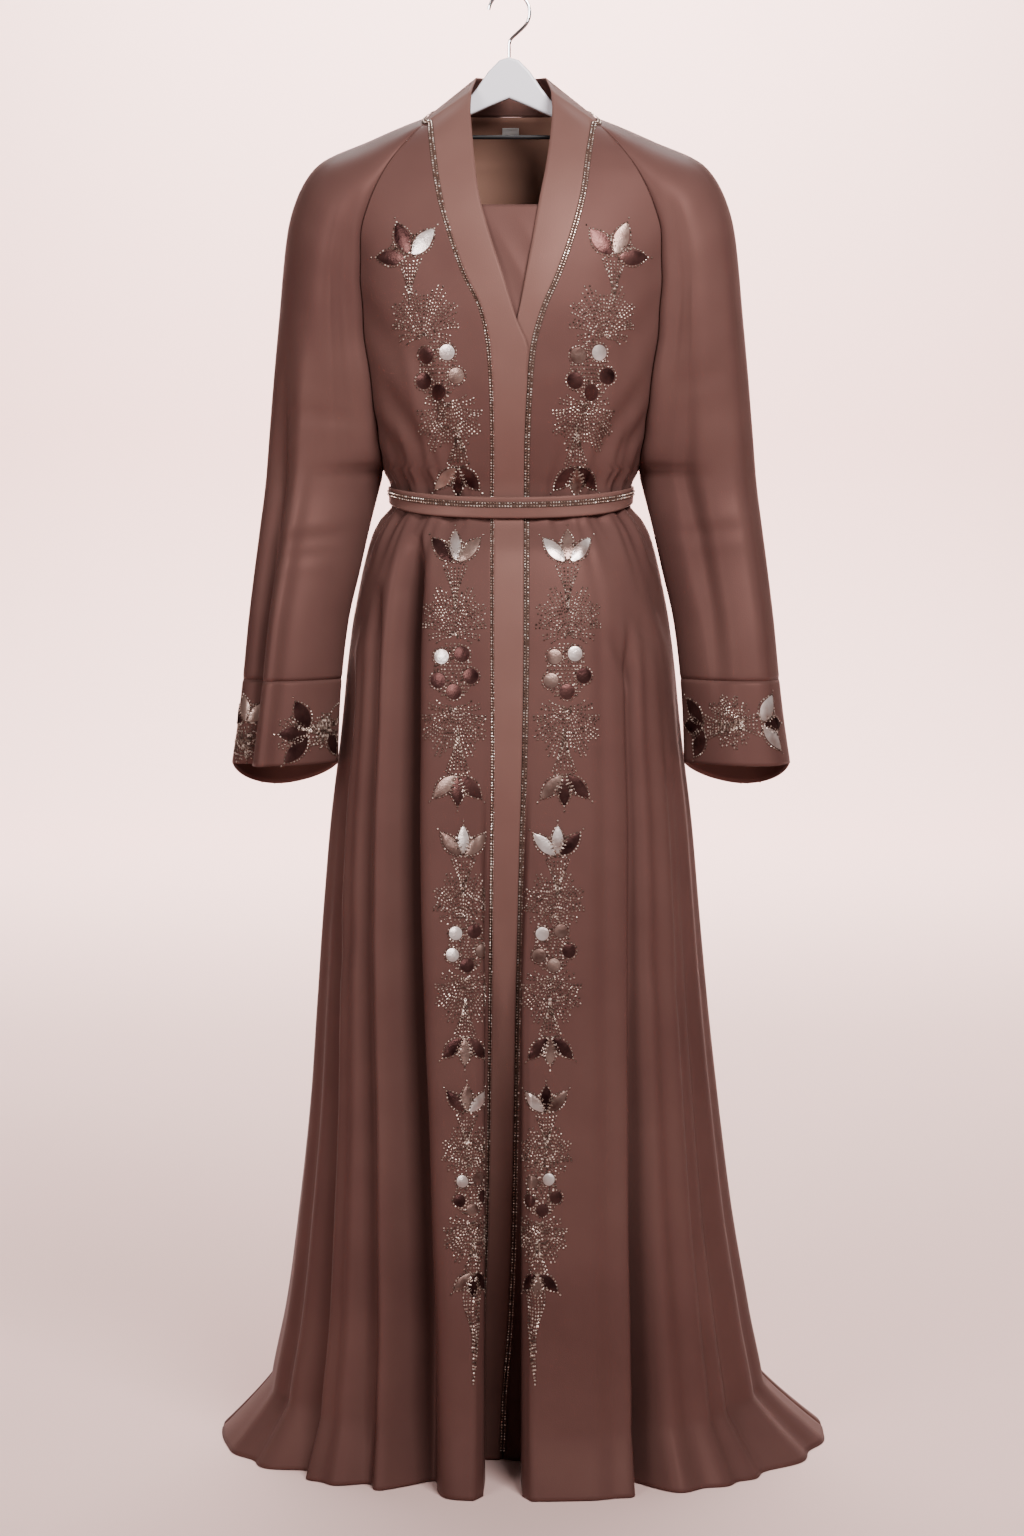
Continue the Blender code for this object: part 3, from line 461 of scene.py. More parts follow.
def sheet_normals(sheet, flip, closed_from=None):
    """Outward direction at each point of a grid."""
    across = np.gradient(sheet, axis=1)
    if closed_from is not None:
        wrapped = sheet[closed_from:, 1] - sheet[closed_from:, -2]
        across[closed_from:, 0] = across[closed_from:, -1] = wrapped
    normal = np.cross(across, np.gradient(sheet, axis=0))
    normal /= np.maximum(np.linalg.norm(normal, axis=-1, keepdims=True), 1e-12)
    return -normal if flip else normal


def sewn_cloth(name, sheet, flip, closed_from=None, inner=None, groove=0.0007, open_edges=(), finish=None):
    """A cut piece of cloth with its seam edges drawn in by the stitching, as a thin shell."""
    points = sheet.copy()
    out = sheet_normals(sheet, flip, closed_from)
    edges = {"first_row": (0, slice(None)), "last_row": (-1, slice(None)),
             "first_column": (slice(None), 0), "last_column": (slice(None), -1)}
    for edge, where in edges.items():
        if edge not in open_edges and not (closed_from is not None and "column" in edge):
            points[where] -= out[where] * groove
    rows, columns = sheet.shape[:2]
    faces = grid_faces(rows, columns, closed_from, flip)
    obj = add_mesh(name, points.reshape(-1, 3), faces, [finish or satin, inner or wrong_side_painted_light])
    wall = obj.modifiers.new("cloth wall", "SOLIDIFY")
    wall.thickness, wall.offset, wall.material_offset = CLOTH, -1, 1
    return obj


fronts = {side: front_sheet(side) for side in (-1, 1)}
SIDES = ((-1, "left"), (1, "right"))
for side, name in SIDES:
    front = sewn_cloth("front_" + name + "_satin", fronts[side], side < 0, open_edges=("first_row",))
    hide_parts("front_" + name)

# The back is one panel from side seam to side seam, with a short train on the floor.
back = back_sheet()
back_cloth = sewn_cloth("back_satin", back, False, open_edges=("first_row",))
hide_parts("back")

# Wide raglan sleeves of the same satin fall from the shoulders, with folds at the elbow and a
# sharp fold down the front of the left one. Flared cuffs are sewn on below.
# Below the underarm: height, inner side, outer side, middle in y, half depth, drop of the back
ARM = [
    (1.030, 0.1365, 0.2610, 0.000, 0.0598, 0.000), (1.012, 0.1410, 0.2628, -0.0025, 0.0590, 0.000),
    (0.980, 0.1490, 0.2665, -0.0115, 0.0570, 0.000),
    (0.930, 0.1600, 0.2725, -0.024, 0.053, 0.000), (0.876, 0.1720, 0.2785, -0.036, 0.055, 0.000),
    (0.815, 0.1790, 0.2840, -0.046, 0.057, 0.000), (0.775, 0.1815, 0.2885, -0.050, 0.060, 0.008),
    (0.727, 0.1830, 0.2955, -0.052, 0.066, 0.028),
]
CUFF_SEAM, CUFF_HEM = 0.815, 0.727
# Sleeve folds, as troughs: side, place round the sleeve (0 front seam, 0.5 outside), half width,
# depth, height of the middle, half height
SLEEVE_FOLDS = [
    (-1, 0.275, 0.030, -0.013, 0.80, 0.36), (-1, 0.375, 0.045, 0.024, 0.80, 0.36),
    (-1, 0.10, 0.045, 0.010, 1.16, 0.16), (1, 0.10, 0.045, 0.010, 1.14, 0.18),
    (1, 0.16, 0.040, 0.008, 0.98, 0.20), (1, 0.33, 0.050, -0.005, 0.95, 0.35),
    (-1, 0.80, 0.060, 0.010, 1.00, 0.30), (1, 0.80, 0.060, 0.010, 1.00, 0.30),
]
# Creases of the sleeves: side, place and height of one end, of the other, half width, depth
SLEEVE_CREASES = [
    (-1, 0.06, 1.085, 0.34, 1.098, 0.007, 0.0016), (-1, 0.08, 0.968, 0.36, 0.958, 0.007, 0.0020),
    (-1, 0.10, 0.950, 0.38, 0.944, 0.008, 0.0016), (-1, 0.04, 1.190, 0.20, 1.250, 0.016, 0.0016),
    (1, 0.08, 1.120, 0.32, 1.140, 0.010, 0.0015), (1, 0.08, 0.965, 0.34, 0.975, 0.008, 0.0014),
    (1, 0.04, 1.190, 0.20, 1.250, 0.016, 0.0016),
    (-1, 0.70, 1.120, 0.95, 1.090, 0.012, 0.0026), (1, 0.70, 1.120, 0.95, 1.090, 0.012, 0.0026),
    (-1, 0.66, 1.010, 0.90, 0.985, 0.012, 0.0022), (1, 0.66, 1.010, 0.90, 0.985, 0.012, 0.0022),
]
SLEEVE_TURNS, ARM_STEPS, CUFF_STEPS = 96, 48, 22
SLEEVE_GIRTH = 0.30
SEAM_SHARE = math.sqrt(0.125)  # of the two seams' distance, in the half depth at a quarter turn


def sleeve_fold(side, place, height):
    """How far the folds of one sleeve move its cloth in."""
    moved = np.zeros_like(place)
    for which, middle, width, depth, centre, reach in SLEEVE_FOLDS:
        if which == side:
            near = max(0.0, 1 - ((height - centre) / reach) ** 2)
            moved += depth * near * np.exp(-((place - middle) / width) ** 2)
    return moved


def sleeve_ring(side, place, front, back, outer_x, outer_h, bulge, drop=0.0):
    """One turn of a sleeve, from its front seam point over the outside to its back seam point."""
    out, across = np.clip(np.sin(math.pi * place), 0, 1) ** 1.4, (1 - np.cos(math.pi * place)) / 2
    middle = (front + back) / 2
    points = front + (back - front) * across[:, None]
    turn = np.sin(2 * math.pi * place), -np.cos(2 * math.pi * place)
    points[:, 0] += (side * outer_x + CENTRE_X - middle[0]) * out
    points[:, 2] += (outer_h - middle[2]) * out - drop * np.clip(-turn[0], 0, 1)
    inward = sleeve_fold(side, place, middle[2])
    creases = [c[1:] for c in SLEEVE_CREASES if c[0] == side]
    moved = crease_depth(creases, place, points[:, 2], SLEEVE_GIRTH) * np.clip(out * 4, 0, 1)
    points[:, 0] -= side * (inward * (out > 0.3) + moved) * turn[1]
    points[:, 1] += (inward - bulge + moved) * turn[0]
    return points


def sleeve_sheets(side):
    """Sleeve and cuff. Rows down to the underarm are open; below it the last column is the first."""
    place = np.linspace(0, 1, SLEEVE_TURNS + 1)
    rows = []
    for front_h, back_h, x, h, depth in zip(*[shoulder_rows(i) for i in range(5)]):
        reach_front = side * angle_of(lookup(RAGLAN, front_h, 1), front_h)
        reach_back = side * (math.pi - angle_of(lookup(RAGLAN, back_h, 1), back_h))
        front = body_points(np.array([reach_front]), front_h)[0]
        behind = body_points(np.array([reach_back]), back_h)[0]
        bulge = depth - SEAM_SHARE * (behind[1] - front[1])
        rows.append(sleeve_ring(side, place, front, behind, x, h, bulge))
    levels = np.linspace(ARM[0][0], CUFF_SEAM, ARM_STEPS + 1)[1:]
    cuff_levels = np.linspace(CUFF_SEAM, CUFF_HEM, CUFF_STEPS + 1)
    below = []
    for height in np.concatenate([levels, cuff_levels[1:]]):
        inner, outer, middle, bulge, drop = [lookup(ARM, height, i, rising=False) for i in range(1, 6)]
        seam = np.array([side * inner + CENTRE_X, middle, height])
        below.append(sleeve_ring(side, place, seam, seam, outer, height, bulge, drop))
    return np.array(rows + below[:ARM_STEPS]), np.array(below[ARM_STEPS - 1:])


sleeves, cuffs = {}, {}
for side, name in SIDES:
    sleeves[side], cuffs[side] = sleeve_sheets(side)
    sleeve = sewn_cloth("sleeve_" + name + "_satin", sleeves[side], side > 0, closed_from=SHOULDER_STEPS)
    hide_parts("sleeve_" + name)
    cuff = sewn_cloth("cuff_" + name + "_satin", cuffs[side], side > 0, closed_from=0,
                      inner=satin, open_edges=("last_row",))
    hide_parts("cuff_" + name)

# The band is interlined satin, so it lies smooth and stiff. It runs from the hem up both fronts,
# left over right, and round the back of the neck.
# Free edges from the lap up to the side of the neck: height of the seam, height of the edge, x of
# the left band's edge, x of the right band's edge, y of both
BAND_EDGES = [
    (1.135, 1.135, 0.0150, -0.0125, -0.1180), (1.160, 1.158, 0.0168, -0.0065, -0.1187),
    (1.190, 1.188, 0.0055, 0.0045, -0.1175), (1.235, 1.238, -0.0100, 0.0145, -0.1130),
    (1.270, 1.282, -0.0240, 0.0225, -0.1020), (1.300, 1.322, -0.0345, 0.0295, -0.0885),
    (1.325, 1.352, -0.0385, 0.0355, -0.0750), (1.352, 1.385, -0.0415, 0.0400, -0.0560),
    (1.376, 1.412, -0.0435, 0.0422, -0.0370), (1.399, 1.433, -0.0430, 0.0415, -0.0170),
    (1.410, 1.4505, -0.0380, 0.0360, 0.0120),
]
# Top edge of the band behind the neck: place from the shoulder line (0) to the middle (1), x, y, height
NECK_TOP = [(0.0, 0.0370, 0.012, 1.4505), (0.5, 0.0300, 0.042, 1.4530), (1.0, 0.0, 0.062, 1.4540)]
BAND_COLUMNS, BAND_PUFF = 14, 0.0010
PUFF_FROM, PUFF_TO = 1.2, 1.39
NECK_POINT, NECK_RISE = 1.399, 0.011  # the seam's height at the raglan seam, and its rise from there
LAP_TOP, LAP_FADE = 1.36, 0.12  # the left band comes forward over the right one below this height
OVERLAP_SHORT, UNDERLAP = 0.0022, 0.0085  # how far each band runs beside the other's seam
# Closer and smoother than the cloth beside it, so it shines a little more evenly. Its colour is paler
# than the body's satin as a painted highlight, for the gleam along the bands, the neck band and the belt.
band_satin_painted_gleam = satin_material("interlined band satin, painted gleam", "#6D4F49", "#785952", 0.43)


def band_sheet(side):
    """Band from the hem to the side of the neck, between its seam and its free edge."""
    front, sleeve = fronts[side], sleeves[side]
    middle = sleeve.shape[1] // 2
    seam = np.concatenate([front[:, 0], sleeve[0, :middle + 1]])
    rows = []
    for i, start in enumerate(seam):
        neck_share = max(0, i - len(front)) / middle
        station = start[2] if i < len(front) else NECK_POINT + NECK_RISE * neck_share
        height = max(start[2], HEM_CLEAR)
        if station < BAND_EDGES[0][0]:
            left, right = (lookup(BAND_SEAMS, height, k) for k in (1, 2))
            lying = -lookup(SECTIONS, height, 2) + valley(height) + inset(np.array([0.0]), height)[0]
            end = np.array([right - OVERLAP_SHORT if side < 0 else left + UNDERLAP, lying, height])
        else:
            end = np.array([lookup(BAND_EDGES, station, 2 if side < 0 else 3),
                            lookup(BAND_EDGES, station, 4), lookup(BAND_EDGES, station, 1)])
        share = np.linspace(0, 1, BAND_COLUMNS)[:, None]
        row = start + (end - start) * share
        over = np.clip((LAP_TOP - station) / LAP_FADE, 0, 1) if side < 0 else 0.0
        row[:, 1] -= LAP * over * np.clip(share[:, 0] * (BAND_COLUMNS - 1), 0, 1)
        puff = BAND_PUFF * np.sin(math.pi * share) * (PUFF_FROM < station < PUFF_TO)
        rows.append(row + np.array([0, -0.7, 0.7]) * puff)
    return np.array(rows)


def neck_sheet(left, right):
    """Band round the back of the neck, from one shoulder line to the other."""
    middle = left.shape[1] // 2
    seam = np.concatenate([left[0, middle:], back[-1, ::-1][1:-1], right[0, middle:][::-1]])
    place = np.concatenate([[0], np.cumsum(np.linalg.norm(np.diff(seam, axis=0), axis=1))])
    place = place / place[-1] * 2 - 1
    rows = []
    for start, p in zip(seam, place):
        away = 1 - abs(p)
        end = np.array([lookup(NECK_TOP, away, 1) * np.sign(p) + CENTRE_X,
                        lookup(NECK_TOP, away, 2), lookup(NECK_TOP, away, 3)])
        rows.append(start + (end - start) * np.linspace(0, 1, BAND_COLUMNS)[:, None])
    return np.array(rows)


bands = {side: band_sheet(side) for side in (-1, 1)}
for side, name in SIDES:
    band = sewn_cloth("band_" + name + "_satin", bands[side], side > 0, finish=band_satin_painted_gleam,
                      inner=band_satin_painted_gleam, open_edges=("first_row", "last_row", "last_column"))
    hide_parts("band_" + name)
neck = neck_sheet(sleeves[-1], sleeves[1])
neck_band = sewn_cloth("band_neck_satin", neck, False, finish=band_satin_painted_gleam, inner=band_satin_painted_gleam,
                       open_edges=("first_row", "last_row", "last_column"))
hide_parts("band_neck")

# A straight-topped panel of the same satin closes the V behind both bands.
PANEL_TOP, PANEL_BOTTOM, PANEL_HALF, PANEL_HALF_LOW, PANEL_BEHIND = 1.3095, 1.020, 0.052, 0.022, 0.0026
FRONT_WALL, PANEL_SLACK, SLACK_FADE = 0.0015, 0.0012, 0.05
PANEL_COLUMNS, PANEL_ROWS = 36, 90


def panel_sheet():
    """Grid of the panel, lying just behind the fronts' own form, a little slack below its top."""
    rows = []
    for height in np.linspace(PANEL_BOTTOM, PANEL_TOP, PANEL_ROWS):
        half = np.interp(height, (PANEL_BOTTOM, PANEL_TOP), (PANEL_HALF_LOW, PANEL_HALF))
        xs = np.linspace(-half, half, PANEL_COLUMNS)
        wide, deep = section(height)[:2]
        lying = deep * (1 - np.minimum(1.0, np.abs(xs) / wide) ** ROUNDNESS) ** (1 / ROUNDNESS)
        slack = np.sin(xs / half * 5 + height * 60) * np.clip((1.31 - height) / SLACK_FADE, 0, 1)
        y = -lying + FRONT_WALL + PANEL_BEHIND + PANEL_SLACK * np.abs(slack)
        rows.append(np.stack([xs + CENTRE_X, y, np.full_like(xs, height)], axis=-1))
    return np.array(rows)


panel = sewn_cloth("chest_panel_satin", panel_sheet(), False, groove=0.0,
                   open_edges=("first_row", "last_row", "first_column", "last_column"))
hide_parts("chest_panel")

# The narrow belt is folded satin, fastened behind. It rides lower at the front, over the bands.
BELT_MIDDLE, BELT_DEPTH, BELT_WALL, BELT_DIP, BELT_MORE = 1.0090, 0.0180, 0.0024, 0.0135, 0.0045
BELT_GAP, BELT_OVER_BANDS, BELT_CLEAR = 0.0008, 0.035, 0.0006
BELT_TURNS, BELT_LEVELS = 240, 15


def belt_sheet():
    """Grid of the belt, lower edge first, once round from the front's middle."""
    angle = np.linspace(0, 2 * math.pi, BELT_TURNS + 1)
    s, c = np.sin(angle), np.cos(angle)
    low, power = np.clip(c, 0, 1) ** 1.3, 2 / ROUNDNESS
    waist = section(GATHER_HEIGHT)
    rows = []
    for level in np.linspace(-0.5, 0.5, BELT_LEVELS):
        height = BELT_MIDDLE - BELT_DIP * low + (BELT_DEPTH + BELT_MORE * low) * level
        half, front, behind = [np.maximum(lookup(SECTIONS, height, i + 1), waist[i]) + BELT_GAP + BELT_WALL
                               for i in range(3)]
        x = half * np.sign(s) * np.abs(s) ** power
        y = -np.where(c > 0, front, behind) * np.sign(c) * np.abs(c) ** power
        y -= (LAP + BELT_CLEAR) * np.exp(-((x / BELT_OVER_BANDS) ** 4)) * (c > 0)
        rows.append(np.stack([x + CENTRE_X, y, height], axis=-1))
    return np.array(rows)


belt = belt_sheet()
belt_cloth = sewn_cloth("belt_satin", belt, False, closed_from=0, finish=band_satin_painted_gleam, inner=band_satin_painted_gleam)
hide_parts("belt")

# Rhinestones in metal cups are sewn in double rows on a dark tape along both band seams, round
# the neck and along the belt. Cut glass over foil: bright, with a hard sparkle at each facet. Some of
# the sparkle is painted glints in the stones' colour.
STONE_PITCH, STONE_SIZE, STONE_HEIGHT, ROW_GAP = 0.0030, 0.0021, 0.0013, 0.0032
TAPE_WIDTH, TAPE_LIFT, STONE_LIFT = 0.0062, 0.0005, 0.0008
SPARKLE_CELL = 0.0027
TAPE_SHIFT = {-1: -0.0016, 1: -0.0008}  # off each band seam, in the cloth


def varied_tone_and_painted_glint(name, dark, mid, bright, roughness):
    """Foiled glass or plated metal, its tone changing at random from bead to bead; the palest tones are
    painted glints.
    """
    made, shader = new_material(name, Metallic=0.6, Roughness=roughness)
    tree = made.node_tree
    place = add_node(tree, "ShaderNodeTexCoord").outputs["Object"]
    cell = add_node(tree, "ShaderNodeVectorMath", {"operation": "SNAP"},
                    at={0: place, 1: (SPARKLE_CELL,) * 3})
    chance = add_node(tree, "ShaderNodeTexWhiteNoise", Vector=cell.outputs["Vector"])
    tree.links.new(toned(tree, chance.outputs["Value"], [(0.15, dark), (0.65, mid), (0.97, bright)]),
                   shader.inputs["Base Color"])
    return made


# Painted glints: pale points of light on some stones, and smaller and darker ones on the beads
foiled_glass_with_glints = varied_tone_and_painted_glint("foiled rhinestone glass, painted glints", "#75594D", "#BCA294", "#FFF3EA", 0.25)
bead_bronze_with_glints = varied_tone_and_painted_glint("gunmetal bronze beads, painted glints", "#46362F", "#8B776B", "#E2D0C4", 0.32)
# The tape stays dull and dark, and draws a thin line round the stones. Its darkness is partly
# painted shade, for the shadow between and round the stones.
net_tape_and_shade, _ = new_material("dark net tape, painted shade", Base_Color=linear("#40291F"), Roughness=0.8)


def sewing_tree(name, faceted):
    """Nodes that sew a bead or a cut stone at an even pitch along every line of a mesh.

    The lines carry the cloth's outward direction in the attribute "out".
    """
    tree = bpy.data.node_groups.new(name, "GeometryNodeTree")
    for label, kind in (("Lines", "Geometry"), ("Pitch", "Float"), ("Length", "Float"), ("Width", "Float"),
                        ("Height", "Float"), ("Finish", "Material")):
        tree.interface.new_socket(label, in_out="INPUT", socket_type="NodeSocket" + kind)
    tree.interface.new_socket("Sewn", in_out="OUTPUT", socket_type="NodeSocketGeometry")
    given = add_node(tree, "NodeGroupInput").outputs
    curve = add_node(tree, "GeometryNodeMeshToCurve", Mesh=given["Lines"]).outputs["Curve"]
    spots = add_node(tree, "GeometryNodeResampleCurve", {"mode": "LENGTH"}, Curve=curve,
                     Length=given["Pitch"])
    out = add_node(tree, "GeometryNodeInputNamedAttribute", {"data_type": "FLOAT_VECTOR"}, Name="out")
    along = add_node(tree, "GeometryNodeInputTangent").outputs["Tangent"]
    turned = add_node(tree, "FunctionNodeAxesToRotation", {"primary_axis": "Z", "secondary_axis": "X"},
                      at={0: out.outputs["Attribute"], 1: along})
    if faceted:
        shape = add_node(tree, "GeometryNodeMeshCone", Vertices=8, Radius_Top=0.26, Radius_Bottom=0.5,
                         Depth=0.5)
    else:
        shape = add_node(tree, "GeometryNodeMeshIcoSphere", Radius=0.5, Subdivisions=1)
    size = add_node(tree, "ShaderNodeCombineXYZ", X=given["Length"], Y=given["Width"], Z=given["Height"])
    uneven = add_node(tree, "FunctionNodeRandomValue", {"data_type": "FLOAT"}, at={2: 0.88, 3: 1.10, 8: 7})
    scaled = add_node(tree, "ShaderNodeVectorMath", {"operation": "SCALE"},
                      at={0: size.outputs["Vector"], 3: uneven.outputs[1]})
    sewn = add_node(tree, "GeometryNodeInstanceOnPoints", Points=spots.outputs["Curve"],
                    Instance=shape.outputs["Mesh"], Rotation=turned.outputs["Rotation"],
                    Scale=scaled.outputs["Vector"])
    real = add_node(tree, "GeometryNodeRealizeInstances", Geometry=sewn.outputs["Instances"])
    painted = add_node(tree, "GeometryNodeSetMaterial", Geometry=real.outputs["Geometry"],
                       Material=given["Finish"])
    add_node(tree, "NodeGroupOutput", Sewn=painted.outputs["Geometry"])
    return tree


stone_sewing = sewing_tree("stones sewn along lines", True)
bead_sewing = sewing_tree("beads sewn along lines", False)


def sew(name, lines, tree, pitch, size, finish):
    """Beads or stones along lines of (points, outward directions), as one plain mesh on body root."""
    points = np.concatenate([p for p, _ in lines]) - np.array([HOOK_X, HOOK_Y, HOOK_HEIGHT])
    outward = np.concatenate([o for _, o in lines])
    ends = set(np.cumsum([len(p) for p, _ in lines]).tolist())
    edges = [(i, i + 1) for i in range(len(points) - 1) if i + 1 not in ends]
    mesh = bpy.data.meshes.new(name)
    mesh.from_pydata(points.tolist(), edges, [])
    mesh.attributes.new("out", "FLOAT_VECTOR", "POINT").data.foreach_set("vector", outward.ravel())
    obj = bpy.data.objects.new(name, mesh)
    bpy.context.scene.collection.objects.link(obj)
    rows = obj.modifiers.new("sewing", "NODES")
    rows.node_group = tree
    given = dict(zip(("Pitch", "Length", "Width", "Height", "Finish"), (pitch, *size, finish)))
    for item in tree.interface.items_tree:
        if item.in_out == "INPUT" and item.name in given:
            rows[item.identifier] = given[item.name]
    whole = bpy.data.meshes.new_from_object(obj.evaluated_get(bpy.context.evaluated_depsgraph_get()))
    obj.modifiers.clear()
    obj.data = whole
    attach(obj, "root")
    return obj


def beside(points, outward, shift, lift):
    """The line moved sideways in the cloth and out of it."""
    aside = np.cross(outward, np.gradient(points, axis=0))
    aside /= np.maximum(np.linalg.norm(aside, axis=1, keepdims=True), 1e-9)
    return points + aside * shift + outward * lift


def sew_double_row(name, points, outward, shift=0.0):
    """Two rows of stones on their dark tape."""
    points = beside(points, outward, shift, 0.0)
    edges = [beside(points, outward, side * TAPE_WIDTH / 2, TAPE_LIFT) for side in (-1, 1)]
    strip = add_mesh("tape_" + name, np.stack(edges, axis=1).reshape(-1, 3), grid_faces(len(points), 2),
                     [net_tape_and_shade])
    lines = [(beside(points, outward, side * ROW_GAP / 2, STONE_LIFT), outward) for side in (-1, 1)]
    sew("rhinestones_" + name, lines, stone_sewing, STONE_PITCH, (STONE_SIZE, STONE_SIZE, STONE_HEIGHT),
        foiled_glass_with_glints)


for side, name in SIDES:
    out = sheet_normals(bands[side], side > 0)
    keep = bands[side][:, 0, 2] > TAPE_WIDTH
    sew_double_row("band_" + name, bands[side][keep, 0], out[keep, 1], TAPE_SHIFT[side])
neck_out = sheet_normals(neck, False)
sew_double_row("neck", neck[:, 1], neck_out[:, 1])
belt_out = sheet_normals(belt, False, closed_from=0)
BELT_ROW_LEVEL, BELT_ROW_REACH = 9, 58
front_half = np.arange(-BELT_ROW_REACH, BELT_ROW_REACH + 1) % BELT_TURNS
sew_double_row("belt", belt[BELT_ROW_LEVEL][front_half], belt_out[BELT_ROW_LEVEL][front_half])

# Bead embroidery with satin petals and discs climbs both fronts in repeats: a flower, a fan leaf,
# five discs, a fan leaf and a flower turned down. It is worked by hand, through the cloth.
BEAD_PITCH, BEAD_SIZE, BEAD_LIFT = 0.0035, (0.0024, 0.0020, 0.0016), 0.0006
# Leaf outline in mm: angle from its middle, reach from its foot
FAN_REACH = [(0, 44), (12, 55), (24, 52), (36, 48), (50, 44), (62, 39), (76, 34), (90, 28), (104, 20)]
FAN_RAYS, FAN_SPREAD = 41, 104
PETAL_CLEAR = 0.0036
ANCHOR_COLUMNS = 70  # of a front, within which every motif's middle lies
# Painted sheen of a petal or disc: which of the shaded, half-lit and lit copies of its satin it takes
SHADED, HALF_LIT, LIT = 0, 1, 2
# Petals: angle from the flower's axis (outwards plus), length, width, in mm
PETALS = {
    "bodice": [(-41, 36, 20), (21, 36, 20), (88, 35, 18)],
    "skirt": [(-45, 34, 16), (0, 31, 15), (43, 33, 16)],
    "cuff": [(-58, 34, 20), (0, 32, 18), (46, 36, 19)],
}
DISCS = [(-13, 16), (10, 19), (-17, -10), (20, -5), (1, -22)]
DISC_RADIUS, DISC_RIM, DISC_CLEAR = 8.2, 1.7, 3.2
TAIL_LENGTH, TAIL_HALF, TAIL_NARROWS, TAIL_LINES = 92.0, 11, 10, 7


def turned_by(degrees, a, b):
    """Across and up, turned clockwise by so many degrees."""
    c, s = math.cos(math.radians(degrees)), math.sin(math.radians(degrees))
    return a * c + b * s, b * c - a * s


def petal_form(angle, length, width, share, across, start=4.0):
    """Points of a pointed petal, share of its length from the flower's middle, across from -1 to 1."""
    half = width / 2 * np.sin(math.pi * share) ** 0.8 * (1.14 - 0.32 * share)
    return turned_by(angle, half * across, start + length * share)


def petal(angle, length, width):
    """Satin petal in low relief, with a line of beads round it that runs on past the tip."""
    share, across = np.meshgrid(np.linspace(0.04, 0.96, 10), np.linspace(-0.84, 0.84, 6), indexing="ij")
    lift = 0.6 + 0.7 * (1 - across**2) * np.sin(math.pi * share) ** 0.6
    t = np.linspace(0.02, 1, 14)
    rim = [petal_form(angle, length, width + 1.6, t, side) for side in (-1.0, 1.0)]
    tip = turned_by(angle, np.zeros(3), 4 + length + np.array([0.0, 2.5, 5.0]))
    return rim + [tip], (*petal_form(angle, length, width, share, across), lift)


def flower(kind, tones):
    """Three satin petals in bead outlines, with sprigs between them and a beaded neck below."""
    lines, patches = [], []
    for form, tone in zip(PETALS[kind], tones):
        rim, patch = petal(*form)
        lines += rim
        patches.append((patch, tone))
    for first, second in zip(PETALS[kind], PETALS[kind][1:]):
        middle, r = (first[0] + second[0]) / 2, np.linspace(12, 24, 5)
        lines += [turned_by(middle, np.full(5, shift), r) for shift in (-3.0, 0.0, 3.0)]
    lines.append(turned_by(0, np.linspace(-10, 10, 9), -0.2 * np.abs(np.linspace(-10, 10, 9)) + 2.0))
    for k in np.linspace(-1, 1, 7):
        t = np.linspace(0, 1, 12)
        fall = 44 * t * (1 - 0.45 * abs(k)) + 2 * (1 - k * k) * (1 - t)
        lines.append((k * (12.5 - 9.5 * t), -2.0 - fall))
    return lines, patches


def fan_leaf():
    """Beaded fan in two scalloped lobes. Between its rays, further rays start further out."""
    lines = []
    for k, angle in enumerate(np.linspace(-FAN_SPREAD, FAN_SPREAD, FAN_RAYS)):
        scallop = 1 + 0.09 * math.cos(math.radians(14 * (abs(angle) - 20)))
        reach = np.interp(abs(angle), *np.transpose(FAN_REACH)) * scallop
        start = (28.0 if k % 2 else 14.0 if k % 4 else 4.0) + 1.2 * (k % 3)
        if reach - start > 3:
            r = np.linspace(start, reach, 16)
            bend = np.radians(angle * (1 - 0.30 * (1 - r / reach)))
            lines.append((r * np.sin(bend), 1 + r * np.cos(bend)))
    return lines, []


def stretches(kept):
    """Start and end of each stretch of a line that is kept."""
    ends = np.flatnonzero(np.diff([0, *kept, 0])).reshape(-1, 2)
    return [(start, end) for start, end in ends if end - start > 1]


def disc_cluster(side, tones):
    """Five satin discs in bead outlines round a beaded middle."""
    lines, patches, turn = [], [], np.linspace(0, 2 * math.pi, 25)
    p, q = np.meshgrid(np.linspace(-1, 1, 7), np.linspace(-1, 1, 7), indexing="ij")
    x, y = p * np.sqrt(1 - q**2 / 2), q * np.sqrt(1 - p**2 / 2)
    lift = 0.6 + 0.6 * (1 - x**2 - y**2)
    for (a, b), tone in zip(DISCS, tones):
        rim = DISC_RADIUS + DISC_RIM
        lines.append((side * a + rim * np.cos(turn), b + rim * np.sin(turn)))
        patches.append(((side * a + DISC_RADIUS * x, b + DISC_RADIUS * y, lift), tone))
    for b in np.arange(-30.0, 30.1, 4.0):
        half = 21.0 * math.sqrt(max(0.05, 1 - (b / 32) ** 2))
        across = np.linspace(-half, half, 49)
        clear = [min(math.hypot(a - side * x, b - y) for x, y in DISCS) > DISC_RADIUS + DISC_CLEAR
                 for a in across]
        lines += [(across[i:j], np.full(j - i, b)) for i, j in stretches(clear)]
    return lines, patches


def tail():
    """Narrow fall of beads that ends the column above the hem."""
    t = np.linspace(0, 1, 24)
    return [(k * (TAIL_HALF - TAIL_NARROWS * t) + 2 * np.sin(7 * t), -TAIL_LENGTH * t * (1 - 0.35 * k * k))
            for k in np.linspace(-1, 1, TAIL_LINES)], []


def motif(kind, side, tones):
    """Lines of beads and satin patches of one motif, in mm from its middle."""
    if kind in PETALS:
        return flower(kind, tones)
    return {"fan": fan_leaf, "tail": tail}[kind]() if kind != "discs" else disc_cluster(side, tones)


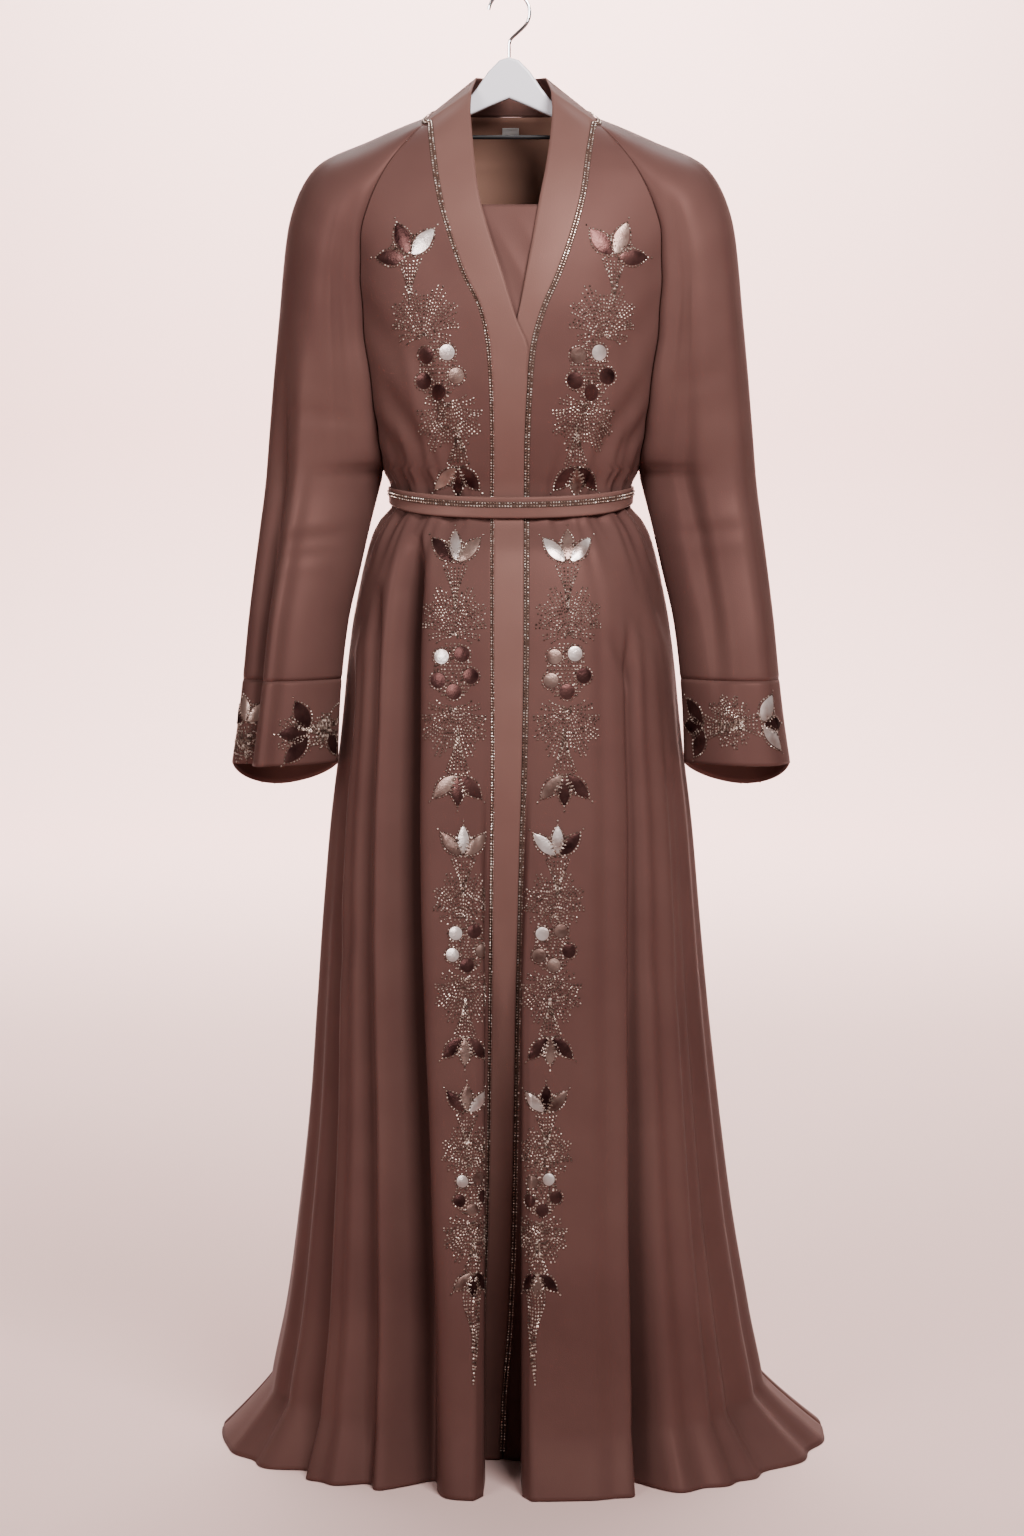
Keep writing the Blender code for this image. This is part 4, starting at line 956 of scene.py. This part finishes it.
def on_cloth(sheet, out, heights, anchors, across, up):
    """Points and outward directions on a sheet, from its own level and so far along it."""
    rows = np.interp(heights + up, sheet[:, 0, 2], np.arange(len(sheet)))
    low = np.clip(rows.astype(int), 0, len(sheet) - 2)
    share = (rows - low)[:, None, None]
    lines = sheet[low] * (1 - share) + sheet[low + 1] * share
    ways = out[low] * (1 - share) + out[low + 1] * share
    steps = np.linalg.norm(np.diff(lines, axis=1), axis=2)
    runs = np.concatenate([np.zeros((len(rows), 1)), np.cumsum(steps, axis=1)], axis=1)
    spots, outward, shown = [], [], []
    for line, way, run, step in zip(lines, ways, runs, across):
        d = anchors(line, run) + step
        spots.append([np.interp(d, run, line[:, k]) for k in range(3)])
        outward.append([np.interp(d, run, way[:, k]) for k in range(3)])
        shown.append(TAPE_WIDTH < d < run[-1])
    outward = np.array(outward)
    return np.array(spots), outward / np.linalg.norm(outward, axis=1, keepdims=True), np.array(shown)


# Petals and discs are cut from glossier satin. Their three tones are painted sheen: shaded, half-lit
# and lit copies of the one satin, each clouded from dark to light like a lustrous leaf, so that some
# flash pale and others stay nearly black.
petal_satin_lit_copies = [satin_material(name + " petal satin, painted sheen", dark, light, 0.30, metal=0.7, cloud_scale=38.0,
                               grain_scale=210.0, grain_depth=0.0009)
                for name, dark, light in (("dark", "#2A1718", "#5E403D"), ("mid", "#5A3F3A", "#A48A80"),
                                          ("bright", "#A88F87", "#F6ECE8"))]


def embroider(name, side, sheet, out, plan):
    """Beads and petals of one piece of cloth. Plan: kind, anchor, height, turn, scale, petals' painted
    sheen tones.
    """
    laid, points, faces, tones, count = [], [], [], [], 0
    for kind, anchor, height, turn, scale, shades in plan:
        lines, patches = motif(kind, side, shades)

        def lay(a, b):
            across, up = turned_by(turn, np.ravel(a) * scale / 1000, np.ravel(b) * scale / 1000)
            return on_cloth(sheet, out, height, anchor, across, up)

        laid += [(kind, *lay(a, b)) for a, b in lines]
        for (a, b, lift), tone in patches:
            spots, ways, shown = lay(a, b)
            if shown.all():
                points.append(spots + ways * lift.reshape(-1, 1) / 1000)
                grid = grid_faces(*a.shape) + count
                faces.append(grid)
                tones += [tone] * len(grid)
                count += a.size
    applied = np.concatenate(points)
    covered = KDTree(len(applied))
    for i, spot in enumerate(applied):
        covered.insert(spot, i)
    covered.balance()
    bead_lines = []
    for kind, spots, ways, shown in laid:
        if kind == "fan":
            shown &= [covered.find(spot)[2] > PETAL_CLEAR for spot in spots]
        bead_lines += [(spots[i:j] + ways[i:j] * BEAD_LIFT, ways[i:j]) for i, j in stretches(shown)]
    sew("beads_" + name, bead_lines, bead_sewing, BEAD_PITCH, BEAD_SIZE, bead_bronze_with_glints)
    petals = add_mesh("petals_" + name, applied, np.concatenate(faces), petal_satin_lit_copies)
    petals.data.polygons.foreach_set("material_index", tones)


def at_x(side, x):
    """Anchor on a front: how far along a level the cloth is at this x."""
    near = slice(EDGE_COLUMNS, ANCHOR_COLUMNS)
    return lambda line, run: np.interp(side * x, side * line[near, 0], run[near])


def at_place(place):
    """Anchor on a cuff: a place round it, 0 at the inner side and 0.5 outside."""
    return lambda line, run: run[round(place * SLEEVE_TURNS)]


# Motif, x on the left, x on the right, height, turn, scale, painted sheen tones of the petals on the left,
# on the right
COLUMNS = [
    ("bodice", -0.106, 0.106, 1.254, 0, 1.00, (LIT, SHADED, SHADED), (SHADED, HALF_LIT, SHADED)),
    ("fan", -0.091, 0.095, 1.169, 0, 1.00, (), ()),
    ("discs", -0.077, 0.081, 1.137, 0, 1.00, (SHADED, LIT, SHADED, HALF_LIT, SHADED),
     (HALF_LIT, LIT, SHADED, SHADED, SHADED)),
    ("fan", -0.066, 0.075, 1.108, 180, 0.96, (), ()),
    ("skirt", -0.056, 0.067, 1.040, 180, 0.96, (HALF_LIT, SHADED, SHADED), (SHADED, HALF_LIT, SHADED)),
    ("skirt", -0.059, 0.058, 0.937, 0, 1.00, (HALF_LIT, LIT, SHADED), (LIT, HALF_LIT, LIT)),
    ("fan", -0.060, 0.059, 0.860, 0, 0.95, (), ()),
    ("discs", -0.061, 0.056, 0.827, 0, 0.94, (LIT, SHADED, SHADED, SHADED, SHADED),
     (HALF_LIT, LIT, HALF_LIT, SHADED, SHADED)),
    ("fan", -0.060, 0.057, 0.793, 180, 0.95, (), ()),
    ("skirt", -0.056, 0.054, 0.723, 180, 0.98, (HALF_LIT, SHADED, SHADED), (SHADED, SHADED, HALF_LIT)),
    ("skirt", -0.050, 0.047, 0.636, 0, 0.95, (HALF_LIT, LIT, HALF_LIT), (LIT, LIT, SHADED)),
    ("fan", -0.050, 0.043, 0.572, 0, 0.86, (), ()),
    ("discs", -0.047, 0.042, 0.546, 0, 0.84, (LIT, SHADED, LIT, HALF_LIT, SHADED),
     (LIT, HALF_LIT, HALF_LIT, SHADED, HALF_LIT)),
    ("fan", -0.048, 0.040, 0.518, 180, 0.86, (), ()),
    ("skirt", -0.048, 0.039, 0.457, 180, 0.88, (SHADED, HALF_LIT, SHADED), (SHADED, HALF_LIT, SHADED)),
    ("skirt", -0.046, 0.035, 0.378, 0, 0.84, (LIT, HALF_LIT, SHADED), (LIT, SHADED, HALF_LIT)),
    ("fan", -0.044, 0.033, 0.322, 0, 0.76, (), ()),
    ("discs", -0.041, 0.030, 0.299, 0, 0.74, (LIT, HALF_LIT, SHADED, SHADED, HALF_LIT),
     (HALF_LIT, LIT, SHADED, SHADED, SHADED)),
    ("fan", -0.042, 0.028, 0.273, 180, 0.76, (), ()),
    ("skirt", -0.039, 0.026, 0.222, 180, 0.76, (HALF_LIT, SHADED, SHADED), (SHADED, HALF_LIT, SHADED)),
    ("tail", -0.036, 0.022, 0.203, 0, 1.00, (), ()),
]
for side, name in SIDES:
    plan = [(kind, at_x(side, right if side > 0 else left), height, turn, scale, tones[side > 0])
            for kind, left, right, height, turn, scale, *tones in COLUMNS]
    embroider("front_" + name, side, fronts[side], sheet_normals(fronts[side], side < 0), plan)

# A garland of the same flowers and fans runs round each cuff, with the flowers on their sides.
# Motif, place round the cuff, height, turn, scale, painted sheen tones of the petals
GARLANDS = {
    -1: [("cuff", 0.130, 0.7600, 90, 1.05, (SHADED, SHADED, SHADED)), ("fan", 0.125, 0.7600, 90, 0.66, ()),
         ("fan", 0.105, 0.7620, -90, 0.50, ()), ("cuff", 0.066, 0.7640, -90, 0.90, (SHADED, SHADED, SHADED)),
         ("fan", 0.420, 0.7600, 186, 0.55, ()), ("cuff", 0.425, 0.7680, 12, 0.90, (HALF_LIT, HALF_LIT, SHADED))],
    1: [("cuff", 0.290, 0.7700, 90, 0.95, (LIT, SHADED, LIT)), ("fan", 0.240, 0.7710, -84, 0.74, ()),
        ("cuff", 0.105, 0.7660, -90, 1.00, (SHADED, SHADED, SHADED))],
}
BACK_GARLAND = [("cuff", 0.62, 0.755, 90, 0.85, (LIT, HALF_LIT, SHADED)), ("fan", 0.72, 0.752, 0, 0.55, ()),
                ("fan", 0.72, 0.752, 180, 0.45, ()), ("cuff", 0.82, 0.755, -90, 0.85, (SHADED, HALF_LIT, SHADED))]
for side, name in SIDES:
    sheet, out = cuffs[side][::-1], sheet_normals(cuffs[side], side > 0, closed_from=0)[::-1]
    plan = [(kind, at_place(place), height, turn, scale, tones)
            for kind, place, height, turn, scale, tones in GARLANDS[side] + BACK_GARLAND]
    embroider("cuff_" + name, side, sheet, out, plan)

# A blank woven tape label, folded under at both ends, is stitched inside the back of the neck.
label_low, label_high = (np.array(corner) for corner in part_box("label"))
label_weave, label_shader = new_material("white woven tape", Roughness=0.7)
label_tree = label_weave.node_tree
label_place = add_node(label_tree, "ShaderNodeTexCoord").outputs["Object"]
label_threads = add_node(label_tree, "ShaderNodeTexWave", {"bands_direction": "Z"}, Vector=label_place,
                         Scale=700.0)
label_bump = add_node(label_tree, "ShaderNodeBump", Height=label_threads.outputs["Fac"], Strength=0.4,
                      Distance=0.0002)
label_tree.links.new(toned(label_tree, label_threads.outputs["Fac"], [(0.2, "#DAD7D3"), (0.8, "#F6F4F1")]),
                     label_shader.inputs["Base Color"])
label_tree.links.new(label_bump.outputs["Normal"], label_shader.inputs["Normal"])
LABEL_COLUMNS, LABEL_ROWS = 25, 9
LABEL_BOW, LABEL_LEAN, LABEL_LIFT, LABEL_WALL = 0.0003, 0.45, 0.0002, 0.0005
us, vs = np.linspace(0, 1, LABEL_COLUMNS), np.linspace(0, 1, LABEL_ROWS)
label_points = []
for v in vs:
    for u in us:
        bow = LABEL_BOW * math.sin(math.pi * u) * math.sin(2.2 * math.pi * v)
        spot = label_low + (label_high - label_low) * np.array([u, 0.0, v])
        spot[1] += (label_high[1] - label_low[1]) * (LABEL_LEAN * (1 - v)) - bow + LABEL_LIFT
        label_points.append(spot + np.array([HOOK_X, HOOK_Y, HOOK_HEIGHT]))
label_cloth = add_mesh("label_tape", label_points, grid_faces(LABEL_ROWS, LABEL_COLUMNS), [label_weave])
label_wall = label_cloth.modifiers.new("woven wall", "SOLIDIFY")
label_wall.thickness, label_wall.offset = LABEL_WALL, -1
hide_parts("label")

# The hanger is shaped wood under white semi-gloss lacquer, with a chromed steel wire hook and a
# black lacquered trouser bar. The lacquer is a cool white with a thin clear shine, the hook a
# bright mirror, the bar a soft black gloss, and each is a little uneven from handling.
lacquer, lacquer_shader = new_material("white lacquered wood", Base_Color=linear("#FAF7FF"),
                                       Coat_Weight=0.4, Coat_Roughness=0.15)
chrome, chrome_shader = new_material("chromed steel wire", Base_Color=linear("#D6D8DC"), Metallic=1.0)
black_bar, bar_shader = new_material("black lacquered steel", Base_Color=linear("#17171A"))
for node_name, finish, shader, level in (("hanger", lacquer, lacquer_shader, 0.32),
                                         ("hook", chrome, chrome_shader, 0.12),
                                         ("hanger_bar", black_bar, bar_shader, 0.3)):
    tree = finish.node_tree
    where = add_node(tree, "ShaderNodeTexCoord").outputs["Object"]
    marks = add_node(tree, "ShaderNodeTexNoise", Vector=where, Scale=60.0, Detail=4.0)
    varied = add_node(tree, "ShaderNodeMapRange", Value=marks.outputs["Fac"], To_Min=level * 0.8,
                      To_Max=level * 1.25)
    tree.links.new(varied.outputs["Result"], shader.inputs["Roughness"])
    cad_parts[node_name].data.materials.clear()
    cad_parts[node_name].data.materials.append(finish)

# Studio: a seamless pale floor and a wall far enough behind to leave room for a view of the back,
# with a large soft light from the front right, a weak fill, and lights on the floor and the wall.
WALL_BASE, SWEEP_RADIUS, STAGE_HALF, WALL_HEIGHT, STAGE_GAP = 7.0, 1.2, 8.0, 5.0, 0.0005
floor_paint, _ = new_material("pale studio floor", Base_Color=linear("#FBD6CF"), Roughness=0.9)
sweep = [(-STAGE_HALF, 0.0), (WALL_BASE, 0.0)]
sweep += [(WALL_BASE + SWEEP_RADIUS * math.sin(t), SWEEP_RADIUS * (1 - math.cos(t)))
          for t in np.linspace(0, math.pi / 2, 16)[1:]]
sweep += [(WALL_BASE + SWEEP_RADIUS, WALL_HEIGHT)]
stage_points = [(x, y, FLOOR - STAGE_GAP + z) for x in (-STAGE_HALF, STAGE_HALF) for y, z in sweep]
stage_faces = [[i, i + len(sweep), i + len(sweep) + 1, i + 1] for i in range(len(sweep) - 1)]
stage_mesh = bpy.data.meshes.new("studio_sweep")
stage_mesh.from_pydata(stage_points, [], stage_faces)
stage_mesh.materials.append(floor_paint)
stage_mesh.shade_smooth()
studio = bpy.data.objects.new("studio_sweep", stage_mesh)
bpy.context.scene.collection.objects.link(studio)

world = bpy.data.worlds.new("soft studio")
bpy.context.scene.world = world
world.use_nodes = True
world.node_tree.nodes["Background"].inputs["Color"].default_value = linear("#FFF4F0")
world.node_tree.nodes["Background"].inputs["Strength"].default_value = 0.12
LAMP_TINT = (1.0, 0.955, 0.945)
# Softboxes: name, place, aim, width, height, power, spread in degrees
SOFTBOXES = [
    ("key", (0.70, -1.65, 0.75), (0.05, 0.0, -0.15), 0.9, 0.8, 48.0, 150),
    ("fill", (-1.6, -2.5, 0.5), (0.0, 0.0, 0.0), 1.0, 1.0, 13.0, 90),
    ("floor", (0.0, 4.0, 3.2), (0.0, 4.2, -1.5), 4.0, 4.0, 430.0, 150),
    ("wall", (0.0, 5.8, 2.9), (0.0, 8.2, 0.2), 3.5, 0.8, 500.0, 150),
]
for name, place, aim, width, height, power, spread in SOFTBOXES:
    lamp = bpy.data.lights.new("softbox_" + name, "AREA")
    lamp.shape, lamp.size, lamp.size_y, lamp.energy = "RECTANGLE", width, height, power
    lamp.spread = math.radians(spread)
    lamp.color = LAMP_TINT
    holder = bpy.data.objects.new("softbox_" + name, lamp)
    holder.location = place
    way = np.array(aim) - np.array(place)
    holder.rotation_euler = (math.atan2(math.hypot(way[0], way[1]), -way[2]), 0,
                             math.atan2(-way[0], way[1]))
    bpy.context.scene.collection.objects.link(holder)

# Camera at the photo's angle: 4 m in front, a little above the waist, tilted down.
CAMERA_AWAY, CAMERA_HEIGHT, CAMERA_TILT = 4.0, 1.015, 4.26858
FOCAL_PIXELS, PHOTO_HEIGHT = 3738, 1536
camera = bpy.data.cameras.new("camera")
camera.lens = camera.sensor_width * FOCAL_PIXELS / PHOTO_HEIGHT
viewer = bpy.data.objects.new("camera", camera)
viewer.location = (-HOOK_X, -CAMERA_AWAY - HOOK_Y, CAMERA_HEIGHT - HOOK_HEIGHT)
viewer.rotation_euler = (math.radians(90 - CAMERA_TILT), 0, 0)
bpy.context.scene.collection.objects.link(viewer)
bpy.context.scene.camera = viewer
